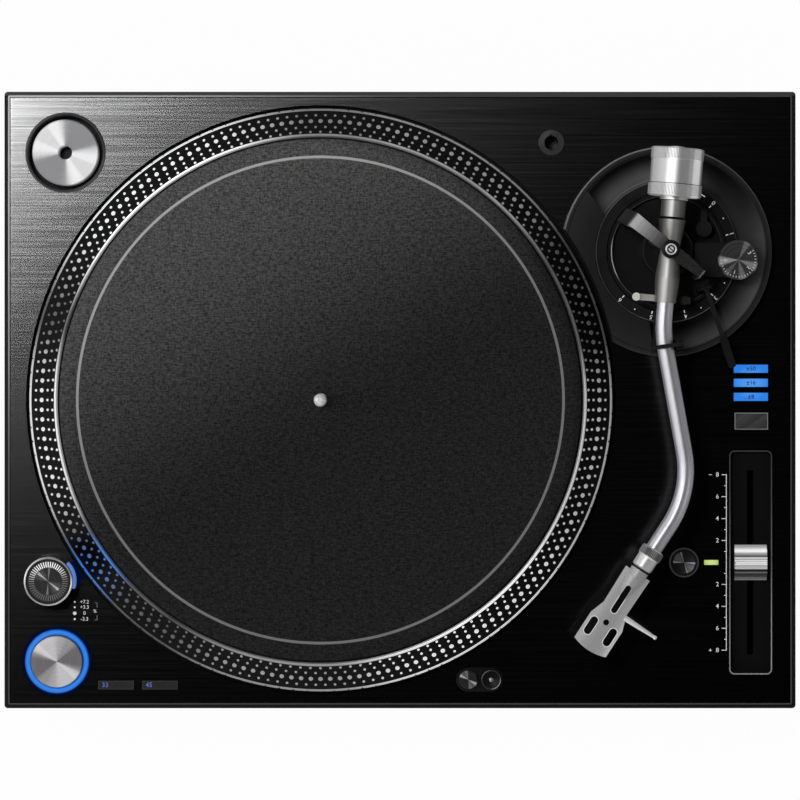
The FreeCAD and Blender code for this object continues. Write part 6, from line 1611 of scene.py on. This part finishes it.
@dataclass
class ArmBase:
    """The dished arm base, the numbered height ring and the carrier."""

    cup_top: float = 106.0
    cup_edge: Spot = (31.4, 31.95, 0.06)
    cup_lobes: Lobes = ((188.0, 0.9, 1.0), (190.0, 0.3, 0.05))
    ring_top: float = 103.5
    ring_edge: Spot = (40.1, 40.6, 0.05)
    ring_lobes: Lobes = ((140.0, 0.0, 0.6), (290.0, 0.3, 0.6))
    numbers: tuple[float, ...] = (46.0, 15.5, -14.0, -43.5, -73.5, -103.5, -134.0)
    number_radius: float = 38.4
    tick: Spot = (0.6, 1.6, INK_DEPTH)
    tick_radius: float = 35.7
    dot: Point = (0.4, INK_DEPTH)
    dot_radius: float = 37.6
    mark: Spot = (2.6, 0.6, INK_DEPTH)
    mark_radius: float = 38.2
    mark_angle: float = 57.0

    def build(self) -> None:
        """Dresses the castings, prints the ring and lays thin rings painted as the highlights on
        the cup's and the ring's edges.
        """
        dress(tonearm_base=BaseCasting("arm_base_casting"),
              height_ring=CastMetal("height_ring_paint", grey(0.008), grey(0.016), 0.28),
              arm_carrier=CastMetal("arm_carrier_paint", grey(0.003), grey(0.006), 0.32),
              height_lock=CASTING_GREY, arm_rest=DARK_PLASTIC, arm_clamp=CASTING_GREY,
              antiskate_box=CASTING_GREY)
        seat = ("ring", "ring_dark")
        words = [(str(number), 2.5, self.around(self.number_radius, angle))
                 for number, angle in enumerate(self.numbers)]
        ink = lettered(words, bold=0.02)
        add(ink, box(*self.tick),
            *(self.around(self.tick_radius, angle) for angle in self.numbers))
        add(ink, disc(*self.dot),
            *(self.around(self.dot_radius, angle + 15.0) for angle in self.numbers[1:]))
        add(ink, box(*self.mark), self.around(self.mark_radius, self.mark_angle))
        finished("height_ring_numbers", ink, WHITE_INK, seat)
        # A thin ring painted as the highlight on the cup's rim.
        metal = SpunMetal("cup_highlight_paint", grey(0.015), grey(0.55), PIVOT, self.cup_lobes,
                          metallic=0.2)
        finished("cup_edge", hoop(*self.cup_edge, 96), metal, ("carrier", "carrier_cast"),
                 at(*PIVOT, self.cup_top))
        # A thin ring painted as the highlight on the height ring's edge.
        metal = SpunMetal("ring_highlight_paint", grey(0.035), grey(0.2), PIVOT, self.ring_lobes,
                          metallic=0.2)
        finished("ring_edge", hoop(*self.ring_edge, 120), metal, seat, at(*PIVOT, self.ring_top))

    def around(self, radius: float, angle: float) -> Matrix:
        """A place on a circle about the arm's pivot, its top outward."""
        return at(*PIVOT, self.ring_top, angle) @ at(radius, 0, 0, -90.0)


@dataclass
class ArmBearing:
    """The bridge over the arm, its gimbal and the bearing screw."""

    top: float = 159.05
    heading: float = 141.3
    tones: Points = ((-40.0, 0.6), (-22.6, 0.01), (-5.2, 0.012), (5.2, 0.07), (8.0, 0.12),
                     (11.0, 0.2), (14.0, 0.28), (17.0, 0.38), (20.0, 0.5), (23.0, 0.66),
                     (27.2, 0.025))
    cap: Points = ((0.0, -0.4), (4.8, -0.4), (4.8, -0.15), (4.5, 0.05), (0.0, 0.05))
    nut: Points = ((2.3, 0.0), (2.3, 0.3), (2.5, 0.42), (3.0, 0.42), (3.2, 0.3), (3.2, 0.0))
    screw: Point = (1.5, 0.35)
    slot_half: float = 0.28
    slot_turn: float = 50.0

    def build(self) -> None:
        """Dresses the bridge and sets the screw in its cap."""
        # Painted light and shade stepping along the bridge, from its dark short leg to its bright
        # long arm and dark end.
        dress(bearing_bridge=StepMetal("bridge_metal", self.tones, self.heading, 1.2),
              gimbal_ring=CastMetal("gimbal_metal", grey(0.05), grey(0.09), 0.35, 0.7))
        place = at(*PIVOT, self.top)
        finished("bearing_cap", lathe(self.cap, 64, False), DARK_PLASTIC, BRIDGE, place)
        finished("bearing_nut", lathe(self.nut), BRIGHT_STEEL, BRIDGE, place)
        screw = bmesh.new()
        for side in (-1, 1):
            half = disc(*self.screw, 32)
            bmesh.ops.bisect_plane(half, geom=half.verts[:] + half.edges[:] + half.faces[:],
                                   plane_co=(self.slot_half * side, 0, 0), plane_no=(side, 0, 0),
                                   clear_inner=True)
            bmesh.ops.holes_fill(half, edges=[edge for edge in half.edges if edge.is_boundary])
            add(screw, half, Matrix())
        finished("bearing_screw", screw, BRIGHT_STEEL, BRIDGE,
                 place @ at(0, 0, 0, self.slot_turn))


@dataclass
class Tonearm:
    """Barrel, tube, counterweight with its dial, locking collar and headshell."""

    # Painted light and shade across the barrel, the weight and the headshell.
    barrel_tones: Points = (
        (-9.0, 0.08), (-5.6, 0.13), (-4.8, 0.22), (-3.9, 0.33), (-3.0, 0.5), (-2.2, 0.66),
        (-1.5, 0.72), (-0.3, 0.58), (0.3, 0.42), (0.9, 0.36), (1.8, 0.28), (2.6, 0.2),
        (3.4, 0.13), (4.5, 0.09), (5.4, 0.05))
    weight_tones: Points = (
        (-20.0, 0.22), (-13.8, 0.52), (-6.4, 0.75), (-5.4, 1.0), (-0.9, 0.7), (0.0, 0.46),
        (1.0, 0.3), (6.6, 0.45), (9.0, 1.0), (13.2, 0.25))
    shell_tones: Points = ((-14.0, 0.6), (-6.0, 0.48), (-2.0, 0.42), (5.0, 0.48), (8.5, 0.75))
    knurls: tuple[tuple[str, float, float, float, Seat], ...] = (
        ("weight_knurl", -57.3, 14.95, 14.5, WEIGHT),
        ("dial_knurl", -36.9, 15.2, 14.8, ("force_dial", "dial_metal")))
    knurl_length: Point = (5.9, 6.0)
    teeth: int = 110
    tooth: float = 0.3
    gap: Spot = (14.2, 14.75, 0.5)
    gap_at: float = -37.45
    groove: Spot = (6.5, 7.35, 1.3)
    groove_at: float = -18.55
    collar_knurl: tuple[float, float, int, float, float] = (6.75, 4.6, 40, 0.3, 6.2)
    collar_knurl_at: float = 0.7
    washer: Spot = (5.3, 5.8, 1.0)
    washer_at: float = 13.4
    shell_top: float = 143.1
    slots: tuple[tuple[float, float, float, float], ...] = (
        (25.0, 43.0, 0.0, 3.6), (49.9, 61.1, -6.35, 4.5), (49.9, 61.1, 6.35, 4.5))
    rim_lap: float = 0.7
    rim_corner: float = 0.3
    rim_width: float = 0.38
    rim_rise: float = 0.1

    def build(self) -> None:
        """Dresses the arm with painted light and shade, lays knurled rings with painted shade in
        their grooves, and lays black rings as painted shade in the gap and the groove.
        """
        across = ARM_HEADING + 90.0
        weight = StepMetal("weight_face_metal", self.weight_tones, across, 0.8, 0.35, 0.22, 0.42)
        dress(arm_barrel=StepMetal("barrel_face_metal", self.barrel_tones, across, 0.7, 0.25,
                                   0.05, tint=(1.0, 0.99, 0.95)),
              arm_tube=Polished("tube_metal", (0.7, 0.69, 0.74), 0.3, 0.72),
              weight_bush=WorkedMetal("arm_metal", (0.64, 0.64, 0.61), Grain.ALONG_ARM,
                                      (*PIVOT, ARM_AXIS), ARM_HEADING, 0.36, 0.06, 1800.0, 0.85),
              counterweight=weight, weight_dial=weight)
        for (name, rear, radius, bore, seat), length in zip(self.knurls, self.knurl_length):
            grip = KnurledMetal(f"{name}_metal", grey(0.06), (*PIVOT, ARM_AXIS), ARM_HEADING,
                                radius)
            finished(name, knurled(radius, length, self.teeth, self.tooth, bore), grip, seat,
                     lying(PIVOT, ARM_HEADING, rear), 20.0)
        # Black rings laid as painted shade in the gap between weight and dial and in the barrel's
        # groove.
        finished("weight_gap_shade", hoop(*self.gap, 72), SLOT_BLACK, WEIGHT,
                 lying(PIVOT, ARM_HEADING, self.gap_at))
        finished("barrel_groove_shade", hoop(*self.groove), SLOT_BLACK, ("arm", "barrel_metal"),
                 lying(PIVOT, ARM_HEADING, self.groove_at))
        self.collar()
        self.shell()

    def collar(self) -> None:
        """The locking collar, its knurled grip and the black washer before the headshell."""
        spot = (*COLLAR_START, ARM_AXIS)
        dress(locking_collar=WorkedMetal("collar_face_metal", (0.88, 0.88, 0.89), Grain.ALONG_ARM,
                                         spot, SHELL_HEADING, 0.36, 0.06, 2200.0, 0.5))
        grip = KnurledMetal("collar_knurl_metal", grey(0.01), spot, SHELL_HEADING,
                            self.collar_knurl[0], 1.1)
        finished("collar_knurl", knurled(*self.collar_knurl), grip, ("collar", "collar_metal"),
                 lying(COLLAR_START, SHELL_HEADING, self.collar_knurl_at), 20.0)
        finished("shell_washer", hoop(*self.washer), SLOT_BLACK, SHELL,
                 lying(COLLAR_START, SHELL_HEADING, self.washer_at))

    def shell(self) -> None:
        """The headshell, painted in light and shade, with painted highlights round its slots, and
        its finger lift.
        """
        dress(headshell=StepMetal("shell_face_metal", self.shell_tones, SHELL_HEADING + 90.0, 2.0,
                                  0.25, 0.06, 0.4, (1.0, 1.0, 1.01),
                                  (*COLLAR_START, ARM_AXIS), 0.35),
              finger_lift=Polished("finger_lift_metal", grey(0.98), 0.3, 0.1))
        place = at(*COLLAR_START, self.shell_top, SHELL_HEADING)
        # Thin raised rings painted as the highlights on the slots' edges.
        rims = bmesh.new()
        for start, end, offset, width in self.slots:
            size = (end - start + self.rim_lap, width + self.rim_lap)
            line = rect_line(size, self.rim_width, width / 2 + self.rim_corner, self.rim_rise)
            add(rims, line, place @ at((start + end) / 2, offset))
        finished("headshell_slot_highlights", rims, Ink("slot_rim_highlight", grey(0.85), 0.3), SHELL)


@dataclass
class Lifter:
    """The lift bar, the cue lever and the anti-skate dial."""

    bar_tones: Points = ((-40.0, 1.0), (-16.5, 0.5), (-8.5, 0.32), (4.0, 0.008))
    dial: Spot = (192.1, 79.6, 126.3)
    dial_lobes: Lobes = ((184.0, 0.94, 0.6), (338.0, 0.95, 0.36), (284.0, 0.96, 0.26),
                         (228.0, 0.97, 0.16), (62.0, 0.97, 0.22))
    first: float = 182.0
    number_step: float = 70.0
    number_radius: float = 7.3
    tick: Spot = (1.1, 0.3, INK_DEPTH)
    tick_step: float = 10.0
    tick_count: int = 22
    tick_radius: float = 9.7

    def build(self) -> None:
        """Dresses bar, lever and dial and prints the dial."""
        # Painted light along the lift bar, dark at its right end; painted highlight lobes on the
        # skate dial.
        dress(lift_bar=StepMetal("lift_bar_metal", self.bar_tones, tint=(1.0, 0.98, 0.9)),
              cue_lever=CastMetal("lever_plastic", grey(0.007), grey(0.014), 0.32),
              antiskate_dial=SpunMetal("skate_dial_face", grey(0.02), grey(0.85), self.dial[:2],
                                       self.dial_lobes, 1.0, 0.26, 0.1))
        words = [(str(step), 2.2, at(*self.dial, self.first + step * self.number_step)
                  @ at(self.number_radius, 0, 0, -90.0)) for step in range(4)]
        ticks = [at(*self.dial, self.first + self.tick_step * step) @ at(self.tick_radius, 0)
                 for step in range(self.tick_count)]
        finished("antiskate_numbers", add(lettered(words), box(*self.tick), *ticks),
                 WHITE_INK, ("skate_dial", "skate_metal"))


def main() -> None:
    """Builds the turntable's looks, piece by piece, and the studio round it."""
    logging.basicConfig(level=logging.INFO, format="%(name)s: %(message)s")
    for group in (Studio(), Deck(), Platter(), StartCorner(), StrobeTower(), StylusLamp(),
                  TempoFader(), RangeKeys(), RearCorner(), ArmBase(), ArmBearing(), Tonearm(),
                  Lifter()):
        group.build()
        log.info("%s built", type(group).__name__)


if __name__ == "__main__":
    main()
